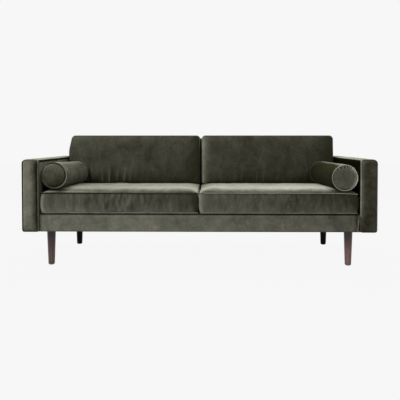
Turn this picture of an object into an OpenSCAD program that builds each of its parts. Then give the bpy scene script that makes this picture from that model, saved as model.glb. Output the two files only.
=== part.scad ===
// A velvet sofa with box arms: timber frame, sprung seat, two seat cushions, two back cushions, two bolsters.
// Millimetres. +X is to the right of someone facing the sofa, +Y is towards its back and +Z is up.
// The origin is on the floor, under the middle of the sofa.

/* [Overall] */
// Width over the arms
overall_w = 2100; // [1800:10:2500]
// Depth from the front of the arms to the outside of the back
overall_d = 850; // [800:5:1000]
// Clear height under the sofa
clear_h = 210; // [120:5:260]
// Height of the arms and the back, from their underside to their top
frame_h = 432; // [400:1:480]

/* [Arms] */
// Width of an arm
arm_w = 102; // [85:1:150]
// Radius of an arm's top edge on its outer side
arm_out_r = 26; // [16:1:30]
// Radius of an arm's top edge on its inner side
arm_in_r = 16; // [14:1:24]
// Radius of the front panel's two lower corners
arm_low_r = 14; // [12:1:20]

/* [Base] */
// Distance that the front rail stands back from the front of the arms
rail_setback = 20; // [5:1:60]
// Radius of the front rail's soft top edge
rail_r = 12; // [8:1:14]

/* [Back] */
// Angle by which the back leans away from upright, in degrees
lean = 9.8; // [6:0.2:14]
// Thickness of the back at its top
back_top_t = 87; // [80:1:110]
// Radius of the back's top edge on the outside
back_out_r = 14; // [10:1:18]
// Radius of the back's top edge on the inside
back_in_r = 20; // [14:1:26]

/* [Seat cushions] */
// Thickness of a seat cushion at its seams
seat_t = 126; // [100:1:150]
// Rise of a seat cushion's crown above its top seam
seat_crown = 20.5; // [8:0.5:30]
// Further rise to the middle of the crown
seat_dome = 1.5; // [0.5:0.5:6]
// Radius of a seat cushion's corners in plan
seat_r = 22; // [16:1:40]
// Distance that the seat cushions stand out in front of the rail
seat_overhang = 6; // [0:1:12]
// Gap behind the seat cushions, which leaves room for their zips
seat_rear_gap = 17; // [10:1:40]

/* [Back cushions] */
// Thickness of a back cushion at its seams
back_cushion_t = 138; // [110:1:170]
// Height of a back cushion, measured along its lean
back_cushion_h = 336; // [280:1:380]
// Rise of a back cushion's crown in front of its seam
back_crown = 15; // [6:1:30]
// Radius of a back cushion's corners
back_r = 32; // [18:1:60]

/* [Cushions] */
// Gap between the two cushions of a pair
middle_gap = 3; // [2:0.5:20]
// Gap between a cushion and the arm
side_gap = 1.5; // [1:0.5:12]
// Swell of a cushion's sides beyond its seams
swell = 4; // [1:0.5:8]
// Distance by which a seam is drawn in at the middle of a cushion's side
draw = 3; // [0:0.5:6]
// Width and depth of the step that a seam leaves for its piping
seam_step = 8; // [7.5:0.1:12]
// Diameter of the piping
pipe_d = 7; // [4:0.5:7.5]

/* [Bolsters] */
// Diameter of a bolster
bolster_d = 160; // [120:2:190]
// Distance of a bolster's front end behind the front of the arms
bolster_setback = 27; // [24:1:60]
// Distance of a bolster's rear end in front of the back cushion's foot
bolster_rear_gap = 9; // [6:1:140]
// Depth to which the left bolster presses into its seat cushion
sink_left = 1; // [0.5:0.5:18]
// Depth to which the right bolster presses into its seat cushion
sink_right = 14; // [0.5:0.5:18]
// Angle by which the right bolster is turned towards the middle of the sofa, in degrees
turn_right = 2.8; // [0:0.2:4]

/* [Legs] */
// Diameter of a leg at its top
leg_top_d = 52; // [40:1:60]
// Diameter of a leg at its foot
leg_foot_d = 38; // [28:1:40]
// Diameter of the glide under a leg
glide_d = 28; // [20:1:28]

/* [Covers and padding] */
// Thickness of the velvet with its lining
cover_t = 1.2; // [0.8:0.1:2]
// Thickness of the foam over the sides of the frame
pad_t = 8; // [5:0.5:9]
// Thickness of the foam over the top of the arms and the back
top_pad_t = 20; // [20:1:35]
// Thickness of the foam over the front of the arms and the rail
front_pad_t = 12; // [9:0.5:20]
// Thickness of the pad over the springs
deck_pad_t = 10.8; // [6:0.2:14]
// Thickness of a cushion's cover
wall = 1.5; // [1:0.1:3]
// Width of the cover that is turned under the frame
hem_w = 25; // [15:1:40]

/* [Frame timber] */
// Thickness of the front and back rails
rail_t = 32; // [26:1:40]
// Thickness of the side rails
side_rail_t = 28; // [20:1:40]
// Height of the front, back and side rails
rail_h = 90; // [75:1:95]
// Width of the arms' posts and of the back's uprights
post_w = 40; // [30:1:55]
// Height of the arms' top and bottom rails and of the back's top rail
arm_rail_h = 45; // [35:1:60]
// Number of uprights in the back
upright_n = 5; // [3:2:7]
// Thickness of the hardboard on the arms
board_t = 3; // [2:0.5:4]
// Side of a square corner block
block_w = 100; // [80:1:120]
// Thickness of a corner block
block_t = 38; // [34:1:50]

/* [Springs and webbing] */
// Diameter of the spring wire
wire_d = 4; // [3:0.5:5]
// Straight length of a spring's crosswise run
run_w = 36; // [24:1:50]
// Distance from one crosswise run to the next, before it is rounded to fill the seat
run_pitch = 40; // [28:1:50]
// Springs between two neighbouring uprights
springs_per_bay = 2; // [1:1:3]
// Width of the webbing
web_w = 50; // [40:1:60]
// Number of straps of webbing
web_n = 3; // [2:1:3]

/* [Zips] */
// Length of a zip
zip_len = 600; // [400:10:700]
// Width of a zip's tape
zip_w = 24; // [18:1:26]

/* [Fasteners] */
// Diameter of the bolts in the legs and the arms
bolt_d = 8; // [6:1:10]
// Bolts that hold one arm to the base
arm_bolt_n = 3; // [2:1:4]

/* [Hidden] */

// Colours, as they look in daylight
velvet = "#4b4b3a";
velvet_dark = "#3c3d2f";
timber = "#c9a36b";
board = "#8a6a46";
foam = "#efe2b0";
steel = "#9a9da1";
cloth = "#2c2c2c";
walnut = "#5a4238";
brass = "#b08d4c";

// Overrun of every cut past the face that it leaves by
over = 1;
// Clearance between pieces of one cushion or one frame that lie side by side
fit = 0.1;
// Clearance between a loose cushion and what it lies on or against
lie = 0.4;
// Clearance round a bolt that passes through
bolt_fit = 0.2;
// Facets of round pieces
round_fn = 48;
wire_fn = 24;
// Steps in the rounded edges of upholstery, and the least radius that a corner keeps under its cover
edge_n = 5;
corner_min = 0.5;
// Thickness of the dust cover
dust_t = 0.8;

// Main planes
half_w = overall_w / 2;
inner_x = half_w - arm_w;
front_y = -overall_d / 2;
back_y = overall_d / 2;
base_z = clear_h;
frame_z = base_z + cover_t;
frame_top = base_z + frame_h;
rail_top = frame_z + rail_h;
rail_front = front_y + rail_setback;
// Top of the springs, which stand in steel clips on the rails
clip_t = 0.8;
spring_top = rail_top + clip_t + wire_d;
// Top of the deck, on which the seat cushions lie
deck_z = spring_top + deck_pad_t + cover_t;

// Points of an arc from one angle to another, both ends included
function arc(c, r, a0, a1, n) =
    [for (i = [0:n]) c + r * [cos(a0 + (a1 - a0) * i / n), sin(a0 + (a1 - a0) * i / n)]];

// The same points in the other order
function backwards(p) = [for (i = [len(p) - 1:-1:0]) p[i]];

// Carries a profile drawn in X and Z along Y
module along_y(y0, y1) {
    translate([0, y1, 0]) rotate([90, 0, 0]) linear_extrude(y1 - y0) children();
}

// Carries a profile drawn in Y and Z along X
module along_x(x0, x1) {
    translate([x0, 0, 0]) rotate([90, 0, 90]) linear_extrude(x1 - x0) children();
}

// A box between two opposite corners
module box(low, high) {
    translate(low) cube(high - low);
}

// A box and its mirror image on the other side of the sofa
module both_sides() {
    for (s = [0, 1]) mirror([s, 0, 0]) children();
}

// Piece on the left as it is, on the right mirrored
module on_side(side) {
    mirror([side > 0 ? 1 : 0, 0, 0]) children();
}

// Front rail, back rail and what lies between them

rail_face = rail_front + cover_t + front_pad_t;
rail_rear = rail_face + rail_t;
// Front surface of the back at a height
function back_face_y(z) = back_y - back_top_t - (frame_top - z) * tan(lean);
back_rail_front = back_face_y(deck_z) + (cover_t + pad_t) / cos(lean);
back_rail_rear = back_rail_front + rail_t;
side_rail_x = inner_x - side_rail_t;
bearer_w = rail_t;
bearer_h = rail_h - block_t / 2;

module front_rail() {
    color(timber) box([-inner_x, rail_face, frame_z], [inner_x, rail_rear, rail_top]);
}

module back_rail() {
    color(timber) box([-inner_x, back_rail_front, frame_z], [inner_x, back_rail_rear, rail_top]);
}

module side_rails() {
    color(timber) both_sides() difference() {
        box([-inner_x, rail_rear, frame_z], [-side_rail_x, back_rail_front, rail_top]);
        arm_bolt_holes(bolt_d + 2 * bolt_fit);
    }
}

module centre_bearer() {
    color(timber)
        box([-bearer_w / 2, rail_rear, frame_z], [bearer_w / 2, back_rail_front, frame_z + bearer_h]);
}

// Legs and the blocks that they screw into

// Distances of a leg's centre from the faces of the rails that its block is glued to
leg_from_side = 20;
leg_from_front = 20;
leg_from_back = 14;
// Distance that the rear legs stand further in than the front ones
rear_leg_in = 10;
leg_x = side_rail_x - leg_from_side;
rear_leg_x = leg_x - rear_leg_in;
leg_front_y = rail_rear + leg_from_front;
leg_rear_y = back_rail_front - leg_from_back;
leg_places = [
    [-leg_x, leg_front_y], [leg_x, leg_front_y], [-rear_leg_x, leg_rear_y], [rear_leg_x, leg_rear_y]
];
glide_t = 3;
glide_pin_d = 4;
glide_pin_len = 12;
leg_edge = 2;
insert_wall = 3;
insert_d = bolt_d + 2 * insert_wall;
insert_len = 26;
bolt_in_leg = 45;
bolt_in_block = 32;

module at_legs() {
    for (p = leg_places) translate([p[0], p[1], 0]) children();
}

module corner_blocks() {
    color(timber) difference() {
        union() both_sides() {
            box([-side_rail_x, rail_rear, frame_z],
                [-side_rail_x + block_w, rail_rear + block_w, frame_z + block_t]);
            box([-side_rail_x, back_rail_front - block_w, frame_z],
                [-side_rail_x + block_w, back_rail_front, frame_z + block_t]);
        }
        at_legs() translate([0, 0, frame_z - over])
            cylinder(h = block_t + 2 * over, d = insert_d, $fn = round_fn);
    }
}

module leg_inserts() {
    color(steel) at_legs() translate([0, 0, frame_z]) difference() {
        cylinder(h = insert_len, d = insert_d, $fn = round_fn);
        translate([0, 0, -over]) cylinder(h = insert_len + 2 * over, d = bolt_d + 2 * fit, $fn = round_fn);
    }
}

module leg_bolts() {
    color(steel) at_legs() translate([0, 0, frame_z - bolt_in_leg])
        cylinder(h = bolt_in_leg + bolt_in_block, d = bolt_d, $fn = round_fn);
}

// A turned leg, tapered from its top to its foot, with its lower edge eased
module leg(place) {
    foot_r = leg_foot_d / 2;
    color(walnut) translate([place[0], place[1], 0]) difference() {
        rotate_extrude($fn = round_fn) polygon([
            [0, glide_t], [foot_r - leg_edge, glide_t], [foot_r, glide_t + leg_edge],
            [leg_top_d / 2, frame_z], [0, frame_z]
        ]);
        translate([0, 0, frame_z - bolt_in_leg]) cylinder(h = bolt_in_leg + over, d = bolt_d, $fn = round_fn);
        translate([0, 0, -over])
            cylinder(h = glide_t + glide_pin_len + over, d = glide_pin_d, $fn = round_fn);
    }
}

module foot_glides() {
    color(cloth) at_legs() {
        cylinder(h = glide_t, d = glide_d, $fn = round_fn);
        cylinder(h = glide_t + glide_pin_len, d = glide_pin_d, $fn = round_fn);
    }
}

// Arms: frame, hardboard, padding, cover and piping, drawn on the left

arm_skin = cover_t + pad_t;
arm_timber_in = arm_skin + board_t;
arm_timber_front = front_y + cover_t + front_pad_t;
arm_timber_rear = back_y - arm_skin;
arm_timber_top = frame_top - cover_t - top_pad_t;
front_hem = rail_setback + hem_w;

// Rounded corner of an outline that is drawn in by d: its sharp corner, the way in from there, and its radius
function corner(at, way, r, d, a0) =
    let (reach = max(r, d + corner_min))
    arc(at + reach * way, reach - d, a0, a0 + 90, edge_n);

// Outline of an arm seen from the front, drawn in by d, with its underside at the height low
function arm_outline(d, low) = concat(
    [[-half_w + d, low], [-inner_x - d, low]],
    corner([-inner_x, frame_top], [-1, -1], arm_in_r, d, 0),
    corner([-half_w, frame_top], [1, -1], arm_out_r, d, 90)
);

// Outline of the front panel, which has four rounded corners
function panel_outline(d) = concat(
    corner([-half_w, base_z], [1, 1], arm_low_r, d, 180),
    corner([-inner_x, base_z], [-1, 1], arm_low_r, d, 270),
    corner([-inner_x, frame_top], [-1, -1], arm_in_r, d, 0),
    corner([-half_w, frame_top], [1, -1], arm_out_r, d, 90)
);

// Everything in one arm's skin that lies deeper than d
module arm_body(d, low) {
    along_y(front_y + seam_step + d, back_y - d) polygon(arm_outline(d, low));
    along_y(front_y + d, front_y + seam_step + d) polygon(panel_outline(seam_step + d));
}

// Room for the timber and the hardboard
module arm_core() {
    box([-half_w + arm_skin, arm_timber_front, frame_z - over],
        [-inner_x - arm_skin, arm_timber_rear, arm_timber_top]);
}

module arm_cover(side) {
    color(velvet) on_side(side) difference() {
        arm_body(0, base_z);
        arm_body(cover_t, frame_z);
        box([-half_w + hem_w, front_y + front_hem, base_z - over],
            [-inner_x + over, back_y - hem_w, frame_z + over]);
        arm_bolt_holes(bolt_d + 2 * bolt_fit);
    }
}

module arm_piping(side) {
    color(velvet_dark) on_side(side) piping(
        [for (p = backwards(panel_outline(pipe_in))) [p[0], front_y + pipe_in, p[1]]], [0, 1, 0]);
}

module arm_padding() {
    color(foam) both_sides() difference() {
        arm_body(cover_t, frame_z);
        arm_core();
        arm_bolt_holes(bolt_d + 2 * bolt_fit);
    }
}

module arm_panels() {
    color(board) both_sides() {
        box([-half_w + arm_skin, arm_timber_front, frame_z],
            [-half_w + arm_timber_in, arm_timber_rear, arm_timber_top]);
        difference() {
            box([-inner_x - arm_timber_in, arm_timber_front, frame_z],
                [-inner_x - arm_skin, arm_timber_rear, arm_timber_top]);
            arm_bolt_holes(bolt_d + 2 * bolt_fit);
        }
    }
}

// A piece of an arm's frame between two places along it and two heights
module arm_timber(y0, y1, z0, z1) {
    box([-half_w + arm_timber_in, y0, z0], [-inner_x - arm_timber_in, y1, z1]);
}

module arm_rails() {
    color(timber) both_sides() {
        arm_timber(arm_timber_front, arm_timber_rear, arm_timber_top - arm_rail_h, arm_timber_top);
        difference() {
            arm_timber(arm_timber_front, arm_timber_rear, frame_z, frame_z + arm_rail_h);
            arm_bolt_holes(bolt_d);
        }
    }
}

module arm_posts() {
    post_low = frame_z + arm_rail_h;
    post_high = arm_timber_top - arm_rail_h;
    post_mid = (arm_timber_front + arm_timber_rear) / 2;
    color(timber) both_sides() {
        arm_timber(arm_timber_front, arm_timber_front + post_w, post_low, post_high);
        arm_timber(post_mid - post_w / 2, post_mid + post_w / 2, post_low, post_high);
        arm_timber(arm_timber_rear - post_w, arm_timber_rear, post_low, post_high);
    }
}

// Bolts that hold the arms to the side rails

arm_bolt_z = frame_z + arm_rail_h / 2;
arm_bolt_grip = 32;
bolt_head_d = 2 * bolt_d;
bolt_head_t = 0.6 * bolt_d;
arm_bolt_first = rail_rear + block_w + bolt_head_d;
arm_bolt_last = back_rail_front - block_w - bolt_head_d;

// Places the arm bolts' axes, with their heads at the side rail's inner face
module at_arm_bolts() {
    span = arm_bolt_last - arm_bolt_first;
    for (i = [0:arm_bolt_n - 1])
        translate([-side_rail_x, arm_bolt_first + span * i / (arm_bolt_n - 1), arm_bolt_z])
            rotate([0, -90, 0]) children();
}

module arm_bolt_holes(d) {
    reach = side_rail_t + arm_timber_in + arm_bolt_grip;
    at_arm_bolts() translate([0, 0, -over]) cylinder(h = reach + over, d = d, $fn = round_fn);
}

module arm_bolts() {
    color(steel) both_sides() at_arm_bolts() {
        cylinder(h = side_rail_t + arm_timber_in + arm_bolt_grip, d = bolt_d, $fn = round_fn);
        translate([0, 0, -bolt_head_t]) cylinder(h = bolt_head_t, d = bolt_head_d, $fn = 6);
    }
}

// Back: uprights, top rail, stretchers, webbing, padding and cover

web_t = 1.5;
back_timber_y = back_y - cover_t - pad_t;
back_rail_z = arm_timber_top - arm_rail_h;
upright_span = 2 * inner_x - post_w;
stretcher_t = 20;
stretcher_h = 60;

// Front surface of the back's inner layers: d lies under the skin
function back_layer_y(d, z) = back_face_y(z) + d / cos(lean);
function upright_x(i) = -inner_x + post_w / 2 + upright_span * i / (upright_n - 1);

// Line over the back from its outer underside to its inner lower edge, drawn in by d
function back_outline(d) =
    let (cz = frame_top - back_in_r)
    concat(
        [[back_y - d, base_z + d]],
        arc([back_y - back_out_r, frame_top - back_out_r], back_out_r - d, 0, 90, edge_n),
        arc([back_face_y(cz) + back_in_r / cos(lean), cz], back_in_r - d, 90, 180 - lean, edge_n),
        [[back_layer_y(d, spring_top), spring_top]]
    );

module back_uprights() {
    d = cover_t + pad_t + web_t;
    color(timber) for (i = [0:upright_n - 1])
        along_x(upright_x(i) - post_w / 2, upright_x(i) + post_w / 2) polygon([
            [back_timber_y, frame_z], [back_timber_y, back_rail_z],
            [back_layer_y(d, back_rail_z), back_rail_z], [back_layer_y(d, rail_top), rail_top],
            [back_rail_rear, rail_top], [back_rail_rear, frame_z]
        ]);
}

module back_top_rail() {
    d = cover_t + pad_t + web_t;
    color(timber) along_x(-inner_x, inner_x) polygon([
        [back_timber_y, back_rail_z], [back_timber_y, arm_timber_top],
        [back_layer_y(d, arm_timber_top), arm_timber_top], [back_layer_y(d, back_rail_z), back_rail_z]
    ]);
}

module back_stretchers() {
    color(timber) for (i = [0:upright_n - 2])
        box([upright_x(i) + post_w / 2, back_timber_y - stretcher_t, frame_z],
            [upright_x(i + 1) - post_w / 2, back_timber_y, frame_z + stretcher_h]);
}

module back_webbing() {
    d = cover_t + pad_t;
    first = rail_top + web_w;
    last = back_rail_z - web_w;
    color(cloth) for (i = [0:web_n - 1]) {
        low = first + (last - first) * i / (web_n - 1) - web_w / 2;
        high = low + web_w;
        along_x(-inner_x, inner_x) polygon([
            [back_layer_y(d, low), low], [back_layer_y(d + web_t, low), low],
            [back_layer_y(d + web_t, high), high], [back_layer_y(d, high), high]
        ]);
    }
}

module back_padding() {
    d = cover_t + pad_t;
    color(foam) along_x(-inner_x, inner_x) polygon(concat(
        back_outline(cover_t),
        [
            [back_layer_y(d, spring_top), spring_top], [back_layer_y(d, arm_timber_top), arm_timber_top],
            [back_timber_y, arm_timber_top], [back_timber_y, frame_z]
        ]
    ));
}

module back_cover() {
    color(velvet) along_x(-inner_x, inner_x) polygon(concat(
        [[back_y - hem_w, base_z]], back_outline(0), backwards(back_outline(cover_t)),
        [[back_y - hem_w, frame_z]]
    ));
}

// Front rail's padding and cover

// Line over the rail from its underside to the rear of its top, drawn in by d
function rail_outline(d) = concat(
    [[rail_front + d, base_z + d]],
    arc([rail_front + rail_r, deck_z - rail_r], rail_r - d, 180, 90, edge_n),
    [[rail_rear, deck_z - d]]
);

module rail_padding() {
    color(foam) along_x(-inner_x, inner_x) polygon(concat(
        rail_outline(cover_t), [[rail_rear, spring_top], [rail_face, spring_top], [rail_face, frame_z]]
    ));
}

module rail_cover() {
    color(velvet) along_x(-inner_x, inner_x) polygon(concat(
        [[rail_front + hem_w, base_z]], rail_outline(0), backwards(rail_outline(cover_t)),
        [[rail_front + hem_w, frame_z]]
    ));
}

// Springs, their clips, and the deck over them

clip_w = 20;
clip_side_h = 3;
spring_z = rail_top + clip_t + wire_d / 2;
spring_front = rail_face + rail_t / 2;
spring_rear = back_rail_front + rail_t / 2;
spring_runs = round((spring_rear - spring_front) / run_pitch) + 1;
run_step = (spring_rear - spring_front) / (spring_runs - 1);
bay_w = upright_span / (upright_n - 1);
spring_places = [
    for (i = [0:upright_n - 2], k = [0:springs_per_bay - 1])
        upright_x(i) + post_w / 2 + (bay_w - post_w) * (k + 1 / 2) / springs_per_bay
];

// One bend of a spring, from the end of a run at the origin to the next run behind it
// The wire draws a little thinner where it is bent
module spring_bend(s) {
    translate([0, run_step / 2, 0]) rotate([0, 0, -s * 90])
        rotate_extrude(angle = 180, $fn = round_fn)
            translate([run_step / 2, 0]) circle(d = wire_d - 2 * fit, $fn = wire_fn);
}

// One zigzag spring: crosswise runs joined by half rings at alternate ends
module zigzag_spring() {
    for (i = [0:spring_runs - 1]) translate([-run_w / 2, spring_front + i * run_step, spring_z])
        rotate([0, 90, 0]) cylinder(h = run_w, d = wire_d, $fn = wire_fn);
    for (i = [0:spring_runs - 2]) {
        s = i % 2 == 0 ? 1 : -1;
        translate([s * run_w / 2, spring_front + i * run_step, spring_z]) spring_bend(s);
    }
}

module seat_springs() {
    color(steel) for (x = spring_places) translate([x, 0, 0]) zigzag_spring();
}

module spring_clips() {
    outer = wire_d + 2 * fit + 2 * clip_t;
    slot_w = outer - 2 * clip_t;
    color(steel) for (x = spring_places, y = [spring_front, spring_rear])
        translate([x, y, rail_top]) difference() {
            box([-clip_w / 2, -outer / 2, 0], [clip_w / 2, outer / 2, clip_t + clip_side_h]);
            box([-clip_w / 2 - over, -slot_w / 2, clip_t], [clip_w / 2 + over, slot_w / 2, clip_t + wire_d]);
        }
}

module deck_pad() {
    high = deck_z - cover_t;
    color(foam) along_x(-inner_x, inner_x) polygon([
        [rail_rear, spring_top], [back_face_y(spring_top), spring_top],
        [back_face_y(high), high], [rail_rear, high]
    ]);
}

module deck_cover() {
    low = deck_z - cover_t;
    color(cloth) along_x(-inner_x, inner_x) polygon([
        [rail_rear, low], [back_face_y(low), low], [back_face_y(deck_z), deck_z], [rail_rear, deck_z]
    ]);
}

module dust_cover() {
    color(cloth) difference() {
        box([-half_w + hem_w + fit, front_y + front_hem + fit, frame_z - dust_t],
            [half_w - hem_w - fit, back_y - hem_w - fit, frame_z]);
        at_legs() translate([0, 0, frame_z - dust_t - over])
            cylinder(h = dust_t + 2 * over, d = leg_top_d + 2 * lie, $fn = round_fn);
    }
}

// Cushion forms: rings of points joined by triangles
// A cushion lies with its seams' outline in X and Y. X is 0 at its middle and Y is 0 at its low edge.
// For a seat cushion Y runs from the front to the rear, and for a back cushion from the bottom to the top.

corner_n = 3;
side_n = 3;
long_n = 5;
pipe_n = 6;
pipe_in = seam_step - pipe_d / 2 - fit;

// Points of a rounded rectangle, with its two X sides drawn in at their middle
function ring(x, y0, y1, z, r, pull) = [
    each [for (p = arc([x - r, y0 + r], r, -90, 0, corner_n)) [p[0], p[1], z]],
    for (k = [1:side_n - 1])
        [x - pull * sin(180 * k / side_n), y0 + r + (y1 - y0 - 2 * r) * k / side_n, z],
    each [for (p = arc([x - r, y1 - r], r, 0, 90, corner_n)) [p[0], p[1], z]],
    for (k = [1:long_n - 1]) [x - r - 2 * (x - r) * k / long_n, y1, z],
    each [for (p = arc([r - x, y1 - r], r, 90, 180, corner_n)) [p[0], p[1], z]],
    for (k = [1:side_n - 1])
        [pull * sin(180 * k / side_n) - x, y1 - r - (y1 - y0 - 2 * r) * k / side_n, z],
    each [for (p = arc([r - x, y0 + r], r, 180, 270, corner_n)) [p[0], p[1], z]],
    for (k = [1:long_n - 1]) [r - x + 2 * (x - r) * k / long_n, y0, z]
];

// A cushion is described by a list:
// width, depth, thickness, crown, dome, corner radius, swell at the high edge, swell at the low edge,
// and how far the crown's flat middle lies in from the sides, the low edge and the high edge
function width(c) = c[0];
function depth(c) = c[1];
function thick(c) = c[2];
function crown(c) = c[3];
function dome(c) = c[4];
function round_r(c) = c[5];
function high_swell(c) = c[6];
function low_swell(c) = c[7];
function in_side(c) = c[8];
function in_low(c) = c[9];
function in_high(c) = c[10];

// Ring of a cushion whose seams' outline is drawn in by e on every side
function seam_ring(c, e, z) =
    let (r = max(round_r(c) - e, seam_step))
    ring(width(c) / 2 - swell - e, low_swell(c) + e, depth(c) - high_swell(c) - e, z, r, draw);

// Ring at the swollen middle of the boxing, d under the surface
function middle_ring(c, d) = ring(width(c) / 2 - d, d, depth(c) - d, thick(c) / 2, round_r(c), 0);

// Ring of the crown: the share of the way to its flat middle from the sides and the low edge,
// the share of its height, and the depth under the surface
function crown_ring(c, way, rise, d) =
    let (e = seam_step)
    ring(
        width(c) / 2 - swell - e - way * (in_side(c) - e),
        low_swell(c) + e + way * (in_low(c) - e),
        depth(c) - high_swell(c) - e - rise * (in_high(c) - e),
        thick(c) + rise * crown(c) - d, round_r(c), 0
    );

// Where the first crown ring stands between the seam and the flat middle
way_share = 0.34;
rise_share = 0.62;

// Outer surface, with a step along each seam for the piping
function outer_rings(c) = [
    seam_ring(c, seam_step, 0),
    seam_ring(c, seam_step, seam_step),
    seam_ring(c, 0, seam_step),
    middle_ring(c, 0),
    seam_ring(c, 0, thick(c) - seam_step),
    seam_ring(c, seam_step, thick(c) - seam_step),
    seam_ring(c, seam_step, thick(c)),
    crown_ring(c, way_share, rise_share, 0),
    crown_ring(c, 1, 1, 0)
];

// Surface at the depth d under the outer one, with slopes where that has its steps
function inner_rings(c, d) = [
    seam_ring(c, 2 * seam_step + d, d),
    seam_ring(c, d, 2 * seam_step + d),
    middle_ring(c, d),
    seam_ring(c, d, thick(c) - 2 * seam_step - d),
    seam_ring(c, 2 * seam_step + d, thick(c) - d),
    crown_ring(c, way_share + wall / seam_step * way_share, rise_share, 2 * d),
    crown_ring(c, 1, 1, d)
];

// A form: its rings, with the middle of its underside before them and the middle of its crown after them
function form(c, rings, low, high) =
    let (mid = (rings[len(rings) - 1][0][1] + depth(c) - high_swell(c) - in_high(c)) / 2)
    concat([[[0, mid, low]]], rings, [[[0, mid, high]]]);
function form_points(f) = [for (r = f) each r];

// Triangles of a form
function form_faces(f) =
    let (m = len(f) - 2, n = len(f[1]), last = 1 + (m - 1) * n)
    concat(
        [for (k = [0:n - 1]) [0, 1 + k, 1 + (k + 1) % n]],
        [
            for (i = [0:m - 2], k = [0:n - 1])
                let (a = 1 + i * n + k, b = 1 + i * n + (k + 1) % n)
                each [[a, b + n, b], [a, a + n, b + n]]
        ],
        [for (k = [0:n - 1]) [last + n, last + (k + 1) % n, last + k]]
    );

function outer_form(c) = form(c, outer_rings(c), 0, thick(c) + crown(c) + dome(c));
function inner_form(c, d) = form(c, inner_rings(c, d), d, thick(c) + crown(c) + dome(c) - d);

// Tube along a closed line, with its sides facing across the direction given
module piping(path, up) {
    n = len(path);
    function beside(k) =
        let (t = path[(k + 1) % n] - path[(k + n - 1) % n])
        cross(t, up) / norm(cross(t, up));
    points = [
        for (k = [0:n - 1], j = [0:pipe_n - 1])
            path[k] + pipe_d / 2 * (cos(360 * j / pipe_n) * beside(k) + sin(360 * j / pipe_n) * up)
    ];
    faces = [
        for (k = [0:n - 1], j = [0:pipe_n - 1])
            let (
                a = k * pipe_n + j,
                b = k * pipe_n + (j + 1) % pipe_n,
                c = (k + 1) % n * pipe_n + j,
                d = (k + 1) % n * pipe_n + (j + 1) % pipe_n
            )
            each [[a, b, d], [a, d, c]]
    ];
    polyhedron(points, faces);
}

// Seat cushions

cushion_w = (2 * inner_x - middle_gap - 2 * side_gap) / 2;
cushion_x = (middle_gap + cushion_w) / 2;
seat_front = rail_front - seat_overhang;
seat_rear = back_face_y(deck_z) - seat_rear_gap;
seat_z = deck_z + lie;
// Distances from the seams to the flat middle of the seat's crown
seat_in_side = 82;
seat_in_front = 80;
seat_fall_d = 275;
seat_cushion = [
    cushion_w, seat_rear - seat_front, seat_t, seat_crown, seat_dome, seat_r, 0, swell,
    seat_in_side, seat_in_front, seat_fall_d
];
seat_top = seat_z + seat_t + seat_crown;

module at_seat(side) {
    translate([side * cushion_x, seat_front, seat_z]) children();
}

// Hollow that the bolster presses into the seat, with d added to its radius
module bolster_hollow(side, d) {
    at_bolster(side) translate([0, 0, -over])
        cylinder(h = bolster_len + 2 * over, r = bolster_d / 2 + lie + d, $fn = round_fn);
}

module seat_form(side, f, d) {
    difference() {
        at_seat(side) polyhedron(form_points(f), form_faces(f));
        bolster_hollow(side, d);
    }
}

module seat_cushion_cover(side) {
    color(velvet) difference() {
        seat_form(side, outer_form(seat_cushion), 0);
        seat_form(side, inner_form(seat_cushion, wall), wall);
    }
}

module seat_cushion_foam(side) {
    color(foam) seat_form(side, inner_form(seat_cushion, wall + lie), wall + lie);
}

// Both piping loops of a cushion, in its own frame
function seam_path(c, z) = seam_ring(c, pipe_in, z);

module seat_cushion_piping(side) {
    color(velvet_dark) at_seat(side) {
        piping(seam_path(seat_cushion, pipe_in), [0, 0, -1]);
        piping(seam_path(seat_cushion, seat_t - pipe_in), [0, 0, -1]);
    }
}

// Back cushions

// Slope of the seat's top towards the back
seat_slope = seat_crown / (seat_fall_d - seam_step);
// The cushion's rear foot is where a line on the seat's slope meets the face of the back
slope_start_y = seat_rear - seam_step;
slope_start_z = seat_z + seat_t + lie;
slope_lean = seat_slope * tan(lean);
back_cushion_rear = (back_face_y(slope_start_z) + slope_start_y * slope_lean) / (1 + slope_lean);
back_cushion_z = slope_start_z - (back_cushion_rear - slope_start_y) * seat_slope;
back_in = 88;
back_cushion = [
    cushion_w, back_cushion_h, back_cushion_t, back_crown, seat_dome, back_r, swell, 0,
    back_in, back_in, back_in
];

// Carries a point of the flat cushion to its place against the back:
// the underside lies on the seat's slope and the top is square to the lean
function leaned(p) =
    let (tilt = cos(lean) * seat_slope, high = p[1] / back_cushion_h)
    [
        p[0],
        back_cushion_rear - lie + p[1] * sin(lean) - p[2] * cos(lean),
        back_cushion_z + p[1] * cos(lean) + p[2] * (tilt + (sin(lean) - tilt) * high)
    ];

module back_form(side, f) {
    translate([side * cushion_x, 0, 0])
        polyhedron([for (p = form_points(f)) leaned(p)], form_faces(f));
}

module back_cushion_cover(side) {
    color(velvet) difference() {
        back_form(side, outer_form(back_cushion));
        back_form(side, inner_form(back_cushion, wall));
    }
}

module back_cushion_filling(side) {
    color(foam) back_form(side, inner_form(back_cushion, wall + lie));
}

module back_cushion_piping(side) {
    out = [0, cos(lean), -sin(lean)];
    color(velvet_dark) translate([side * cushion_x, 0, 0]) for (z = [pipe_in, back_cushion_t - pipe_in])
        piping([for (p = seam_path(back_cushion, z)) leaned(p)], out);
}

// Zips: a tape with its chain, and a slider that runs along it
// A zip is drawn along X on a face that looks along +Z, with its middle at the origin

tape_t = 0.8;
chain_w = 5;
chain_t = 1.2;
slider_w = 10;
slider_len = 14;
slider_t = 3.6;
pull_w = 5;
pull_t = 1;
pull_len = 20;
slider_stop = 8;
slider_x = zip_len / 2 - slider_stop - slider_len;

module zip() {
    box([-zip_len / 2, -zip_w / 2, 0], [zip_len / 2, zip_w / 2, tape_t]);
    box([slider_stop - zip_len / 2, -chain_w / 2, tape_t],
        [zip_len / 2 - slider_stop, chain_w / 2, tape_t + chain_t]);
}

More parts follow.
